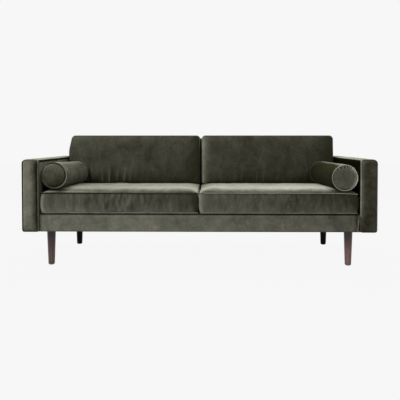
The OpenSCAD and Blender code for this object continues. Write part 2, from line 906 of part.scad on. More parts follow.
module zip_slider() {
    translate([slider_x, 0, tape_t + lie]) {
        difference() {
            box([0, -slider_w / 2, 0], [slider_len, slider_w / 2, slider_t]);
            box([-over, -chain_w / 2 - lie, -over], [slider_len + over, chain_w / 2 + lie, chain_t]);
        }
        box([-pull_len, -pull_w / 2, slider_t - pull_t], [0, pull_w / 2, slider_t]);
    }
}

// On the rear of a seat cushion, halfway up its boxing
module at_seat_zip(side) {
    translate([side * cushion_x, seat_rear, seat_z + seat_t / 2]) rotate([-90, 0, 0]) children();
}

// Under a back cushion, in the strip that overhangs the gap behind the seat
module at_back_zip(side) {
    from_rear = seam_step + zip_w / 2 + lie;
    place = leaned([0, 0, from_rear]);
    translate([side * cushion_x, place[1], place[2]]) rotate([180 - atan(seat_slope), 0, 0]) children();
}

module seat_cushion_zip(side) {
    color(cloth) at_seat_zip(side) zip();
}

module seat_cushion_slider(side) {
    color(brass) at_seat_zip(side) zip_slider();
}

module back_cushion_zip(side) {
    color(cloth) at_back_zip(side) zip();
}

module back_cushion_slider(side) {
    color(brass) at_back_zip(side) zip_slider();
}

// Bolsters: a stuffed tube with a flat disc at each end and piping round the discs

bolster_x = inner_x - side_gap - bolster_d / 2;
disc_swell = 3;
// A bolster ends in front of the foot of the back cushion's crown
back_foot = leaned([0, 0, back_cushion_t + back_crown + seat_dome]);
bolster_len = back_foot[1] - bolster_rear_gap - front_y - bolster_setback;

module at_bolster(side) {
    sink = side < 0 ? sink_left : sink_right;
    translate([side * bolster_x, front_y + bolster_setback, seat_top + bolster_d / 2 - sink])
        rotate([0, 0, side > 0 ? turn_right : 0]) rotate([-90, 0, 0]) children();
}

// Half of the section along a bolster: its surface, with a step at each seam
bolster_section =
    let (r = bolster_d / 2, s = seam_step, low = disc_swell, high = bolster_len - disc_swell)
    [
        [0, 0], [r / 2, low / 3], [r - s, low], [r - s, low + s], [r, low + s],
        [r, high - s], [r - s, high - s], [r - s, high], [r / 2, high + low * 2 / 3], [0, bolster_len]
    ];

// The same section d under the surface, with slopes in place of the steps
function bolster_inside(d) =
    let (r = bolster_d / 2 - d, s = 2 * seam_step, low = disc_swell + d, high = bolster_len - low)
    [[0, low], [r - s, low], [r, low + s], [r, high - s], [r - s, high], [0, high]];

module bolster_cover(side) {
    color(velvet) at_bolster(side) rotate_extrude($fn = round_fn) difference() {
        polygon(bolster_section);
        polygon(bolster_inside(wall));
    }
}

module bolster_filling(side) {
    color(foam) at_bolster(side) rotate_extrude($fn = round_fn) polygon(bolster_inside(wall + lie));
}

module bolster_piping(side) {
    color(velvet_dark) at_bolster(side) for (z = [disc_swell + pipe_in, bolster_len - disc_swell - pipe_in])
        translate([0, 0, z]) rotate_extrude($fn = round_fn)
            translate([bolster_d / 2 - pipe_in, 0]) circle(d = pipe_d, $fn = wire_fn);
}

front_rail();
back_rail();
side_rails();
centre_bearer();
corner_blocks();
arm_posts();
arm_rails();
arm_panels();
back_uprights();
back_top_rail();
back_stretchers();
back_webbing();
seat_springs();
spring_clips();
deck_pad();
deck_cover();
arm_padding();
back_padding();
rail_padding();
arm_cover(-1);  // arm_cover_left
arm_cover(1);  // arm_cover_right
back_cover();
rail_cover();
arm_piping(-1);  // arm_piping_left
arm_piping(1);  // arm_piping_right
dust_cover();
leg(leg_places[0]);  // leg_front_left
leg(leg_places[1]);  // leg_front_right
leg(leg_places[2]);  // leg_rear_left
leg(leg_places[3]);  // leg_rear_right
leg_bolts();
leg_inserts();
foot_glides();
arm_bolts();
seat_cushion_cover(-1);  // seat_cushion_cover_left
seat_cushion_foam(-1);  // seat_cushion_foam_left
seat_cushion_piping(-1);  // seat_cushion_piping_left
seat_cushion_zip(-1);  // seat_cushion_zip_left
seat_cushion_slider(-1);  // seat_cushion_slider_left
seat_cushion_cover(1);  // seat_cushion_cover_right
seat_cushion_foam(1);  // seat_cushion_foam_right
seat_cushion_piping(1);  // seat_cushion_piping_right
seat_cushion_zip(1);  // seat_cushion_zip_right
seat_cushion_slider(1);  // seat_cushion_slider_right
back_cushion_cover(-1);  // back_cushion_cover_left
back_cushion_filling(-1);  // back_cushion_filling_left
back_cushion_piping(-1);  // back_cushion_piping_left
back_cushion_zip(-1);  // back_cushion_zip_left
back_cushion_slider(-1);  // back_cushion_slider_left
back_cushion_cover(1);  // back_cushion_cover_right
back_cushion_filling(1);  // back_cushion_filling_right
back_cushion_piping(1);  // back_cushion_piping_right
back_cushion_zip(1);  // back_cushion_zip_right
back_cushion_slider(1);  // back_cushion_slider_right
bolster_cover(-1);  // bolster_cover_left
bolster_filling(-1);  // bolster_filling_left
bolster_piping(-1);  // bolster_piping_left
bolster_cover(1);  // bolster_cover_right
bolster_filling(1);  // bolster_filling_right
bolster_piping(1);  // bolster_piping_right
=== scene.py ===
"""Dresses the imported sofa: velvet covers, piped cushions and bolsters, walnut legs, light and camera."""

import math
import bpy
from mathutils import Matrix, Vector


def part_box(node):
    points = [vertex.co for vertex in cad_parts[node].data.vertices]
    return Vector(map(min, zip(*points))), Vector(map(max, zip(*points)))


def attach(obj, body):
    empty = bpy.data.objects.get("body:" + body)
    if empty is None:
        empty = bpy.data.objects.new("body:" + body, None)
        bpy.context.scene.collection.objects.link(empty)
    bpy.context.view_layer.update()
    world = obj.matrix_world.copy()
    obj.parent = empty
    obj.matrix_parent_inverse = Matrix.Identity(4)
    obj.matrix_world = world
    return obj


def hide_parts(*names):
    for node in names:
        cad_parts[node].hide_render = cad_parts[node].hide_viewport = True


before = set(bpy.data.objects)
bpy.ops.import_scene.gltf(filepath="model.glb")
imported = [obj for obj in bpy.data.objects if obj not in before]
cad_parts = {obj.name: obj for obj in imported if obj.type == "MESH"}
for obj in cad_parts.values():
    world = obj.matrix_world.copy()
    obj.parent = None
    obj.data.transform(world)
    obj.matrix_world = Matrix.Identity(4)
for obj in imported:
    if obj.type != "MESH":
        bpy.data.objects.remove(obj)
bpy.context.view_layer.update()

from copy import copy
from dataclasses import dataclass
from functools import cached_property
from types import SimpleNamespace

import bpy
import numpy as np
from bpy.props import FloatProperty, FloatVectorProperty, IntProperty, PointerProperty
from mathutils import Vector

bl_info = {
    "name": "Box-arm velvet sofa",
    "version": (1, 0, 0),
    "blender": (4, 5, 0),
    "location": "View3D > Sidebar > Sofa",
    "description": "Velvet covers, piped cushions, bolsters, walnut legs and a studio for a box-arm sofa",
    "category": "Add Mesh",
}

SIDES = {"left": -1, "right": 1}
TURN = 2 * math.pi

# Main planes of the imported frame
ARM_LOW, ARM_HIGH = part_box("arm_cover_left")
RAIL_LOW, RAIL_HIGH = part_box("rail_cover")
DECK_LOW, DECK_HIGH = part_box("deck_cover")
PAD_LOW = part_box("deck_pad")[0]
DUST_LOW, DUST_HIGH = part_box("dust_cover")
STRAPS_LOW, STRAPS_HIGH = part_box("back_webbing")
SEAT_LOW, SEAT_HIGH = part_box("seat_cushion_cover_right")
BOLSTER_LOW, BOLSTER_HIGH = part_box("bolster_cover_left")
HALF_W = -ARM_LOW.x
INNER_X = -ARM_HIGH.x
FRONT_Y = ARM_LOW.y
BACK_Y = ARM_HIGH.y
BASE_Z = ARM_LOW.z
FRAME_TOP = ARM_HIGH.z
DECK_Z = DECK_HIGH.z
SEAT_Z = SEAT_LOW.z
SEAT_W = SEAT_HIGH.x - SEAT_LOW.x
SEAT_D = SEAT_HIGH.y - SEAT_LOW.y
SEAT_X = (SEAT_HIGH.x + SEAT_LOW.x) / 2
BOLSTER_D = BOLSTER_HIGH.x - BOLSTER_LOW.x
BOLSTER_L = BOLSTER_HIGH.y - BOLSTER_LOW.y

# Lamps: the place and the diameter of each, and the place that they all face
LAMPS = {"key": ((-2.4, -2.8, 3.4), 2.2), "fill": ((2.6, -2.6, 3.0), 2.0), "top": ((0.0, 2.0, 3.0), 3.0)}
LAMP_TARGET = (0, 0, 0.4)

# Camera: before the sofa, a little right of its middle and above its arms. Its lens is in millimetres.
CAMERA_PLACE = (0.0659, -3.358, 0.7413)
CAMERA_DOWN = 0.0248
CAMERA_TURN = 0.0139
CAMERA_LENS = 44.96
CAMERA_SENSOR = 36
CAMERA_SHIFT = (-0.0078, -0.1128)
FLOOR_REACH = 14


def tone(red, green, blue):
    """Colour as it looks on a screen, from 0 to 255, as the light that it gives back."""
    return tuple(((c / 255 + 0.055) / 1.055) ** 2.4 for c in (red, green, blue))


def length(name, text, value):
    """A property that is a length in metres."""
    return FloatProperty(name=name, description=text, default=value, min=0, unit="LENGTH", precision=4)


def angle(name, text, degrees):
    """A property that is an angle."""
    return FloatProperty(name=name, description=text, default=math.radians(degrees), subtype="ANGLE")


def number(name, text, value):
    """A property that is a plain number."""
    return FloatProperty(name=name, description=text, default=value, min=0)


def power(name, text, value):
    """A property that is the power of a lamp."""
    return FloatProperty(name=name, description=text, default=value, unit="POWER")


def colour(name, text, value):
    """A property that is a colour."""
    return FloatVectorProperty(
        name=name, description=text, default=value, subtype="COLOR", min=0, max=1, size=3
    )


class SofaBody(bpy.types.PropertyGroup):
    """Sizes of the upholstered frame."""

    cell: length("Cell", "Distance between the points of the arms, the rail and the back", 0.0065)
    arm_out_radius: length("Outer radius", "Radius of an arm's top edge on its outer side", 0.026)
    arm_in_radius: length("Inner radius", "Radius of an arm's top edge on its inner side", 0.016)
    arm_low_radius: length("Lower radius", "Radius of the front panel's two lower corners", 0.014)
    arm_crease: length("Arm crease", "Depth of the seam along an arm's inner top edge", 0.003)
    rail_radius: length("Rail radius", "Radius of the front rail's soft top edge", 0.012)
    back_top: length("Back thickness", "Thickness of the back at its top", 0.087)
    back_out_radius: length("Back outer radius", "Radius of the back's top edge on the outside", 0.014)
    back_in_radius: length("Back inner radius", "Radius of the back's top edge on the inside", 0.020)
    lean: angle("Lean", "Angle by which the back leans", 9.8)
    crease: length("Crease", "Height of the creases at the ends of the front rail", 0.0025)


class SofaCushions(bpy.types.PropertyGroup):
    """Sizes and filling of the loose cushions and bolsters."""

    cell: length("Cell", "Distance between the points of the cushions' surfaces", 0.0065)
    piping: length("Piping", "Diameter of the piping", 0.007)
    piping_in: length("Piping inset", "Distance of the piping's middle from a cushion's edges", 0.0044)
    groove: length("Groove", "Depth at which the seam lies behind the piping", 0.006)
    step: length("Step", "Width of the step that the seam leaves for its piping", 0.008)
    swell: length("Swell", "Swell of a cushion's sides beyond its seams", 0.002)
    draw: length("Draw", "Distance by which a seam is drawn in at the middle of a side", 0.003)
    seat_thick: length("Seat thickness", "Thickness of a seat cushion at its seams", 0.126)
    seat_crown: length("Seat crown", "Rise of a seat cushion's crown", 0.0205)
    seat_radius: length("Seat radius", "Radius of a seat cushion's corners", 0.017)
    seat_side: length("Seat side", "Width of the crown's slope at a seat's sides", 0.082)
    seat_front: length("Seat front", "Width of the crown's slope at a seat's front", 0.080)
    seat_fall: length("Seat fall", "Width of the crown's slope at a seat's rear", 0.275)
    droop: length("Droop", "Distance by which the right seat's upper outer corner droops", 0.012)
    back_thick: length("Back thickness", "Thickness of a back cushion at its seams", 0.138)
    back_height: length("Back height", "Height of a back cushion along its lean", 0.336)
    back_crown: length("Back crown", "Rise of a back cushion's crown", 0.015)
    back_radius: length("Back radius", "Radius of a back cushion's corners", 0.028)
    back_sag: length("Back sag", "How far a back cushion's lower corners sink beside the seat's crown", 0.018)
    back_edge: length("Back edge", "Width of the crown's slope at a back cushion's edges", 0.088)
    lie: length("Clearance", "Clearance between a cushion and what it lies on", 0.0004)
    disc_swell: length("Disc swell", "Swell of a bolster's end discs", 0.003)
    dip: length("Bolster dip", "How much lower the left bolster lies at its rear end", 0.015)
    hollow: length("Hollow", "Clearance under a bolster in the hollow that it presses into its seat", 0.0015)
    turn: angle("Turn", "Turn of the right bolster", 2.8)
    # The seam shade is painted shade beside each seam.
    seam_shade: length("Seam shade", "Width of the flattened, darker pile beside a seam", 0.0065)
    touch: length("Touch", "How far a cushion's sides swell past its width to meet its neighbour", 0.0014)
    slant: length("Slant", "Distance by which the left back cushion's upper outer corner is drawn in", 0.018)
    bulge: length("Bulge", "Distance by which its outer side swells back out over the arm", 0.015)
    pressure: number("Pressure", "Pressure of the filling while the cloth settles", 4.0)
    slack: number("Slack", "Share by which a cover is cut larger than its filling", 0.012)
    frames: IntProperty(name="Frames", description="Frames for which the cloth settles", default=20, min=2)
    cap: length("Cap", "Farthest that the cloth may move", 0.022)


class SofaColours(bpy.types.PropertyGroup):
    """Colours of the finishes, as the light that they give back."""

    # The velvet colours are the stops of the pile and its painted light: deep for painted shade, pale for
    # painted light, the highlight colour for painted highlights on edges and rims, and the fold colour for
    # painted shade in folds and beside seams. Deep also tints the fine pile.
    velvet_deep: colour("Velvet, brushed down", "Velvet where its pile turns away", tone(34, 34, 18))
    velvet_pale: colour("Velvet, brushed up", "Velvet where its pile catches the light", tone(166, 166, 149))
    velvet_bright: colour("Velvet, on an edge", "Velvet whose pile stands open", tone(240, 240, 224))
    velvet_painted_shade: colour("Velvet, in a fold", "Velvet deep in a fold or beside a seam", tone(10, 10, 5))
    sheen: colour("Sheen", "Tint of the velvet's sheen", tone(235, 236, 205))
    walnut_dark: colour("Walnut, dark", "Dark grain of the legs", tone(58, 38, 32))
    walnut_light: colour("Walnut, light", "Light grain of the legs", tone(134, 103, 100))
    timber: colour("Timber", "Frame timber", tone(205, 172, 124))
    lining: colour("Lining", "Deck and dust cover", tone(40, 41, 38))
    webbing: colour("Webbing", "Straps of webbing", tone(150, 132, 96))
    steel: colour("Steel", "Springs and bolts", tone(150, 152, 156))
    brass: colour("Zip metal", "Zip sliders and teeth", tone(128, 108, 74))


class SofaStage(bpy.types.PropertyGroup):
    """Light and background."""

    key: power("Key", "Power of the large light at the upper left", 150)
    fill: power("Fill", "Power of the light at the right", 48)
    top: power("Top", "Power of the light above the back", 290)
    sky: number("Sky", "Strength of the light from all round", 0.12)
    backdrop: colour("Backdrop", "Background that the camera sees", tone(247, 247, 247))


# Materials


class Socket:
    """An output of a node. Arithmetic on it adds Math nodes."""

    def __init__(self, finish, node, output):
        self.finish = finish
        self.node = node
        self.output = output

    def other(self, output):
        """Another output of the same node."""
        return Socket(self.finish, self.node, output)

    def math(self, operation, *values):
        return self.finish.node("ShaderNodeMath", {"operation": operation}, dict(enumerate(values)))

    def __add__(self, other):
        return self.math("ADD", self, other)

    def __radd__(self, other):
        return self.math("ADD", other, self)

    def __sub__(self, other):
        return self.math("SUBTRACT", self, other)

    def __rsub__(self, other):
        return self.math("SUBTRACT", other, self)

    def __mul__(self, other):
        return self.math("MULTIPLY", self, other)

    def __rmul__(self, other):
        return self.math("MULTIPLY", other, self)

    def __abs__(self):
        return self.math("ABSOLUTE", self)


class Finish:
    """A material or a world that is built node by node."""

    def __init__(self, owner):
        owner.use_nodes = True
        self.tree = owner.node_tree
        self.tree.nodes.clear()

    def node(self, kind, settings=None, inputs=None, output=0):
        """Adds a node: its settings first, then the values or links of its sockets."""
        made = self.tree.nodes.new(kind)
        for key, value in (settings or {}).items():
            if key == "stops":
                self.set_stops(made.color_ramp, value)
            else:
                setattr(made, key, value)
        for key, value in (inputs or {}).items():
            if isinstance(value, Socket):
                self.tree.links.new(value.node.outputs[value.output], made.inputs[key])
            else:
                made.inputs[key].default_value = value
        return Socket(self, made, output)

    @staticmethod
    def set_stops(ramp, stops):
        while len(ramp.elements) < len(stops):
            ramp.elements.new(1.0)
        for element, (at, grey) in zip(ramp.elements, stops):
            element.position = at
            element.color = (grey, grey, grey, 1)

    @cached_property
    def place(self):
        """Object coordinates."""
        return self.node("ShaderNodeTexCoord", output="Object")

    def spread(self, scale):
        """Object coordinates, scaled along each axis."""
        return self.node("ShaderNodeMapping", {}, {"Vector": self.place, "Scale": scale})

    def noise(self, scale, detail=2.0, rough=0.5, twist=0.0, along=None):
        """Noise from about 0 to 1. Its scale is in waves a metre."""
        inputs = {"Scale": scale, "Detail": detail, "Roughness": rough, "Distortion": twist}
        return self.node("ShaderNodeTexNoise", {}, {"Vector": along or self.place, **inputs})

    def ramp(self, value, *stops):
        """A number led through a row of places and greys."""
        return self.node("ShaderNodeValToRGB", {"stops": stops}, {"Fac": value})

    def mix(self, factor, first, second):
        """A colour between two others."""
        inputs = {0: factor, 6: rgba(first), 7: rgba(second)}
        return self.node("ShaderNodeMix", {"data_type": "RGBA"}, inputs, 2)

    def bump(self, height, depth, strength):
        """A normal from a height whose full range is as deep as given, in metres."""
        return self.node("ShaderNodeBump", {}, {"Height": height, "Distance": depth, "Strength": strength})

    def shade(self, **sockets):
        """Ends a material in a Principled BSDF, with an underscore for each space in a socket's name."""
        inputs = {key.replace("_", " "): rgba(value) for key, value in sockets.items()}
        self.end("Material", self.node("ShaderNodeBsdfPrincipled", {}, inputs))

    def end(self, kind, surface):
        """Leads a shader to the output of a material or a world."""
        self.node(f"ShaderNodeOutput{kind}", {}, {"Surface": surface})


def rgba(value):
    """A colour of three numbers with an alpha of one. Anything else stays as it is."""
    if isinstance(value, (Socket, int, float)):
        return value
    return (*value, 1.0) if len(value) == 3 else value


def scaled(base, by):
    """A colour made darker, or lighter up to white."""
    return tuple(min(1, c * by) for c in base)


def velvet(f, colours, sheen=0.3, gloss=0.2, stretch=(1, 1, 1)):
    """Cotton velvet: pile direction with painted light and shade from the piece's attribute, with soft marks,
    fine fibres and a sheen.

    The attribute is the pile's direction together with painted light: from 0 to 2 it runs from painted shade
    to painted light, below 0 it is painted shade as in a fold, past 2 a painted highlight.
    """
    wide = f.noise(4.3, 3.0, 0.55, 0.4, f.spread(stretch))
    marks = f.noise(17.0, 4.0, 0.62, 0.5, f.spread(stretch))
    fine = f.noise(85.0, 3.0, 0.65)
    pile = f.noise(1400.0, 1.0, 0.5)
    nap = f.node("ShaderNodeAttribute", {"attribute_name": "nap"}, output="Fac")
    # Random tone of the pile on top of the painted light and shade, stronger where these stray from nought.
    level = nap + (wide * 0.30 + marks * 0.45 + fine * 0.25 - 0.5) * (abs(nap) * 2.3 + 0.7)
    # Painted shade to painted light, then a painted highlight past 2, then painted shade below 0.
    brushed_and_painted_light = f.mix(level * 0.48, colours.velvet_deep, colours.velvet_pale)
    brushed_and_painted_light = f.mix(level * 0.5 - 1.0, brushed_and_painted_light, colours.velvet_bright)
    base = f.mix(-1.0 * level, brushed_and_painted_light, colours.velvet_painted_shade)
    f.shade(
        Base_Color=f.mix(pile * 0.25, base, colours.velvet_deep),
        Roughness=0.88 - marks * 0.10,
        Normal=f.bump(pile * 0.4 + fine * 0.6, 0.0006, 0.35),
        Sheen_Weight=sheen,
        Sheen_Roughness=0.32,
        Sheen_Tint=tuple(colours.sheen),
        Specular_IOR_Level=gloss,
    )


def walnut(f, colours, level=1.0, gloss=0.35, coat=0.15):
    """Stained walnut with a satin lacquer: long streaks of grain up the leg, open pores, faint figure, and
    painted shade that darkens it towards the frame.
    """
    # The level makes lit and shaded copies of this walnut: below one painted shade, above one painted light.
    dark, light = scaled(colours.walnut_dark, level), scaled(colours.walnut_light, level)
    grain = f.noise(1.0, 5.0, 0.62, 0.9, f.spread((95, 95, 6)))
    pores = f.noise(1.0, 2.0, 0.5, 0.0, f.spread((900, 900, 28)))
    figure = f.noise(1.0, 2.0, 0.5, 1.4, f.spread((14, 14, 3)))
    streaks = f.ramp(grain * 0.7 + figure * 0.3, (0.32, 0.0), (0.68, 1.0))
    # Painted shade: the leg darkens towards its top, under the frame.
    height = f.node("ShaderNodeSeparateXYZ", {}, {"Vector": f.place}, output="Z")
    base = f.mix((height - 0.3 * BASE_Z) * 7.0, f.mix(streaks, dark, light), scaled(dark, 0.4))
    holes = f.ramp(pores, (0.30, 1.0), (0.42, 0.0))
    f.shade(
        Base_Color=f.mix(holes * 0.55, base, scaled(dark, 0.45)),
        Roughness=0.36 + holes * 0.3,
        Specular_IOR_Level=gloss,
        Coat_Weight=coat,
        Coat_Roughness=0.22,
        Normal=f.bump(1 - holes, 0.0002, 0.5),
    )


def timber(f, colours, along=(4, 60, 60)):
    """Planed softwood with its grain along the piece."""
    rings = f.noise(1.0, 3.0, 0.55, 1.2, f.spread(along))
    fibres = f.noise(1.0, 2.0, 0.5, 0.0, f.spread(tuple(9 * a for a in along)))
    base = f.mix(f.ramp(rings, (0.35, 0.0), (0.65, 1.0)), scaled(colours.timber, 0.62), colours.timber)
    f.shade(
        Base_Color=f.mix(fibres * 0.3, base, scaled(colours.timber, 0.4)),
        Roughness=0.62 + fibres * 0.2,
        Normal=f.bump(fibres, 0.0003, 0.5),
    )


def hardboard(f, colours):
    """Brown hardboard with pressed fibres."""
    fibres = f.noise(160.0, 4.0, 0.7)
    brown = tuple(c * s for c, s in zip(colours.timber, (0.42, 0.33, 0.26)))
    f.shade(
        Base_Color=f.mix(fibres, brown, scaled(brown, 1.7)),
        Roughness=0.6 + fibres * 0.2,
        Normal=f.bump(fibres, 0.0002, 0.4),
    )


def woven(f, colours, part, pitch):
    """Plain weave: threads that cross, one pitch apart, on two of the piece's axes."""
    own = getattr(colours, part)
    inputs = {"Vector": f.place, "Scale": 0.314 / pitch, "Distortion": 0.6, "Detail": 1.0}
    weft, warp = (f.node("ShaderNodeTexWave", {"bands_direction": axis}, inputs, "Fac") for axis in "XY")
    threads = weft * 0.5 + warp * 0.5
    worn = f.noise(24.0, 3.0, 0.6)
    base = f.mix(threads, scaled(own, 0.5), own)
    f.shade(
        Base_Color=f.mix(worn * 0.4, base, scaled(own, 1.5)),
        Roughness=0.85 - threads * 0.1,
        Normal=f.bump(threads, 0.0004, 0.7),
    )


def metal(f, colours, part, rough):
    """Drawn or cast metal with a dull skin and faint scratches."""
    own = getattr(colours, part)
    clouds = f.noise(60.0, 3.0, 0.6)
    scratches = f.noise(1.0, 2.0, 0.5, 0.0, f.spread((30, 900, 900)))
    f.shade(
        Base_Color=f.mix(clouds, scaled(own, 0.7), own),
        Metallic=1.0 - clouds * 0.1,
        Roughness=rough + clouds * 0.15 + scratches * 0.05,
        Normal=f.bump(scratches, 0.00005, 0.4),
    )


def moulded(f, colours):
    """Black moulded plastic with a matt skin, whatever the other colours are."""
    skin = f.noise(700.0, 2.0, 0.6)
    f.shade(
        Base_Color=f.mix(skin, tone(24, 24, 24), tone(44, 44, 44)),
        Roughness=0.5 + skin * 0.2,
        Normal=f.bump(skin, 0.0001, 0.3),
    )


# Each finish: its maker and what the maker is told. The walnut finishes are lit and shaded copies of one
# walnut: painted shade on the left front leg and on the rear legs, whose gloss and coat are also taken off,
# and painted light on the right front leg.
FINISHES = {
    "velvet_arm": (velvet, {"sheen": 0.0, "gloss": 0.0}),
    "velvet_frame": (velvet, {}),
    "velvet_seat": (velvet, {"stretch": (1.3, 1.3, 0.45)}),
    "velvet_back": (velvet, {"sheen": 0.25, "stretch": (1.0, 1.0, 0.7)}),
    "velvet_bolster_left": (velvet, {"sheen": 0.0, "gloss": 0.05, "stretch": (1.2, 0.7, 1.2)}),
    "velvet_bolster_right": (velvet, {"sheen": 0.04, "gloss": 0.0, "stretch": (1.2, 0.7, 1.2)}),
    "velvet_cord": (velvet, {"sheen": 0.1, "gloss": 0.1}),
    "velvet_piping": (velvet, {}),
    "velvet_bright_piping": (velvet, {"sheen": 1.0, "gloss": 0.4}),
    "walnut_left": (walnut, {"level": 0.72}),
    "walnut_right": (walnut, {"level": 1.5}),
    "walnut_rear": (walnut, {"level": 0.12, "gloss": 0.05, "coat": 0.0}),
    "timber_cross": (timber, {}),
    "timber_deep": (timber, {"along": (60, 4, 60)}),
    "timber_upright": (timber, {"along": (60, 60, 4)}),
    "hardboard": (hardboard, {}),
    "webbing": (woven, {"part": "webbing", "pitch": 0.0012}),
    "lining": (woven, {"part": "lining", "pitch": 0.0011}),
    "zip_tape": (woven, {"part": "lining", "pitch": 0.0009}),
    "spring_steel": (metal, {"part": "steel", "rough": 0.38}),
    "bolt_steel": (metal, {"part": "steel", "rough": 0.28}),
    "zip_metal": (metal, {"part": "brass", "rough": 0.34}),
    "glide": (moulded, {}),
}
MATERIALS = {}

# Which CAD nodes that stay in view or hidden wear which finish
WEARERS = {
    "walnut_left": ["leg_front_left"],
    "walnut_right": ["leg_front_right"],
    "walnut_rear": ["leg_rear_left", "leg_rear_right"],
    "timber_cross": ["front_rail", "back_rail", "corner_blocks", "back_top_rail", "back_stretchers"],
    "timber_deep": ["side_rails", "centre_bearer", "arm_rails"],
    "timber_upright": ["arm_posts", "back_uprights"],
    "hardboard": ["arm_panels"],
    "spring_steel": ["seat_springs", "spring_clips"],
    "bolt_steel": ["leg_bolts", "leg_inserts", "arm_bolts"],
    "glide": ["foot_glides"],
    "zip_tape": [f"{kind}_cushion_zip_{side}" for kind in ("seat", "back") for side in SIDES],
    "zip_metal": [f"{kind}_cushion_slider_{side}" for kind in ("seat", "back") for side in SIDES],
}


def finish(name):
    """The material of that name, made on its first use."""
    if name not in MATERIALS:
        maker, words = FINISHES[name]
        MATERIALS[name] = bpy.data.materials.new(name)
        maker(Finish(MATERIALS[name]), bpy.context.scene.sofa_colours, **words)
    return MATERIALS[name]


# Heights of the small waves, puckers and gathers, in metres
ARM_WAVE = 0.0005
ARM_PANEL = 0.0008
BACK_WAVE = 0.0009
RAIL_WAVE = 0.0011
DECK_HOLLOW, DECK_WAVE = 0.0012, 0.0008
SHEET_SAG, SHEET_WAVE = 0.0016, 0.0009
BOXING_PUCKER = 0.0009
SEAT_WAVE = 0.0012
FILLING_WAVE = 0.0015
GATHER = 0.0034
TUBE_PUCKER, TUBE_WAVE = 0.0010, 0.0012
DISC_GATHER = 0.0012

# Shares of the settled cloth's wrinkles that each kind of cushion keeps
SEAT_WRINKLES = (1, 1, 0.5)
BACK_WRINKLES = 0.5
BOLSTER_WRINKLES = 0.3

# Seeds of the random draws
SEEDS = {
    "arm": 11, "back": 21, "rail": 31, "deck": 41, "sheet": 43, "seat": 51, "back_cushion": 61, "bolster": 71,
}

# Painted shade taken off the pile beside a cushion's seam, beside an arm's seam and in an arm's crease
CUSHION_SEAM_SHADE, ARM_SEAM_SHADE, CREASE_SHADE = 0.8, 0.4, 2.2

# Cloth while it settles: its held points, steps in a frame, weight, stiffness and filling
CLOTH = {
    "vertex_group_mass": "seams",
    "quality": 5,
    "mass": 0.35,
    "tension_stiffness": 18,
    "compression_stiffness": 18,
    "shear_stiffness": 8,
    "bending_stiffness": 0.6,
    "use_pressure": True,
}


# Curves that shape and shade the pieces


def draws(kind, side=0):
    """A source of random numbers that gives the same ones on every run."""
    return np.random.default_rng(SEEDS[kind] + side)


def near(place, centre, width):
    """Bell curve round a place."""
    return np.exp(-(((place - centre) / width) ** 2))


def fade(distance, reach):
    """One at no distance, falling off as an exponential of the distance over the reach."""
    return np.exp(-distance / reach)


def climb(place, start, width):
    """Nought up to the start, one from a width beyond it, and straight between."""
    return np.clip((place - start) / width, 0, 1)


def between(first, second, way):
    """A share of the way from the first to the second."""
    return first + (second - first) * way


def ease(way, power=2.2):
    """One less the rest of the way to a power: a steep start that flattens out."""
    return 1 - (1 - np.clip(way, 0, 1)) ** power


def ripple(rng, place, shortest, longest, loop, count=16):
    """Sum of sine waves round a closed loop, with random phases and random lengths that fit in it whole."""
    waves = np.exp(rng.uniform(math.log(shortest), math.log(longest), count))
    waves = loop / np.maximum(1, np.round(loop / waves))
    phases = rng.uniform(0, TURN, count)
    return np.sin(TURN * place[..., None] / waves + phases).sum(-1) / math.sqrt(count)


def mottle(rng, x, y, shortest, longest, count=16):
    """Sum of sine waves over a plane, each with a random length, direction and phase."""
    waves = np.exp(rng.uniform(math.log(shortest), math.log(longest), count))
    turns = rng.uniform(0, math.pi, count)
    phases = rng.uniform(0, TURN, count)
    along = x[..., None] * np.cos(turns) + y[..., None] * np.sin(turns)
    return np.sin(TURN * along / waves + phases).sum(-1) / math.sqrt(count)


# Surfaces


def meshed(name, points, faces):
    """A new mesh from its points and the point numbers of its faces."""
    mesh = bpy.data.meshes.new(name)
    mesh.from_pydata(np.reshape(points, (-1, 3)).tolist(), [], faces)
    return mesh


def linked(name, data):
    """A new object in the scene that holds a mesh, a light or a camera."""
    made = bpy.data.objects.new(name, data)
    bpy.context.collection.objects.link(made)
    return made


def add_piece(name, points, faces, look, body, slot, nodes, nap=None):
    """Makes a smooth mesh and gives it its finish, body, the nodes that it stands for, and its pile and
    painted light. The slot is not used.
    """
    mesh = meshed(name, points, faces)
    mesh.update()
    mesh.shade_smooth()
    mesh.materials.append(finish(look))
    if nap is not None:
        # Each point's pile direction with its painted light and shade, kept as an attribute.
        values = np.broadcast_to(nap, points.shape[:-1]).ravel()
        mesh.attributes.new("nap", "FLOAT", "POINT").data.foreach_set("value", values)
    piece = linked(name, mesh)
    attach(piece, body)
    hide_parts(*nodes)
    return piece


def quads(numbers):
    """Quads between neighbouring rows and columns of a grid of point numbers."""
    corners = numbers[:-1, :-1], numbers[1:, :-1], numbers[1:, 1:], numbers[:-1, 1:]
    return np.stack(corners, -1).reshape(-1, 4)


def joined(parts):
    """The points and faces of several meshes as one."""
    starts = np.cumsum([0] + [points[..., 0].size for points, _ in parts]).tolist()
    faces = [[start + i for i in face] for start, (_, faces) in zip(starts, parts) for face in faces]
    return np.vstack([points.reshape(-1, 3) for points, _ in parts]), faces


def arc(centre, radius, start, end, count=12):
    """Points of an arc between two angles in degrees, both included."""
    angles = np.radians(np.linspace(start, end, count))
    return np.array(centre) + radius * np.stack([np.cos(angles), np.sin(angles)], -1)


def spaced(points, cell):
    """Closed line resampled to points an even distance apart, and the distance of each from the start."""
    closed = np.vstack([points, points[:1]])
    way = np.concatenate([[0], np.cumsum(np.linalg.norm(np.diff(closed, axis=0), axis=1))])
    places = np.linspace(0, way[-1], max(8, round(way[-1] / cell)) + 1)[:-1]
    return np.stack([np.interp(places, way, closed[:, k]) for k in range(2)], -1), places


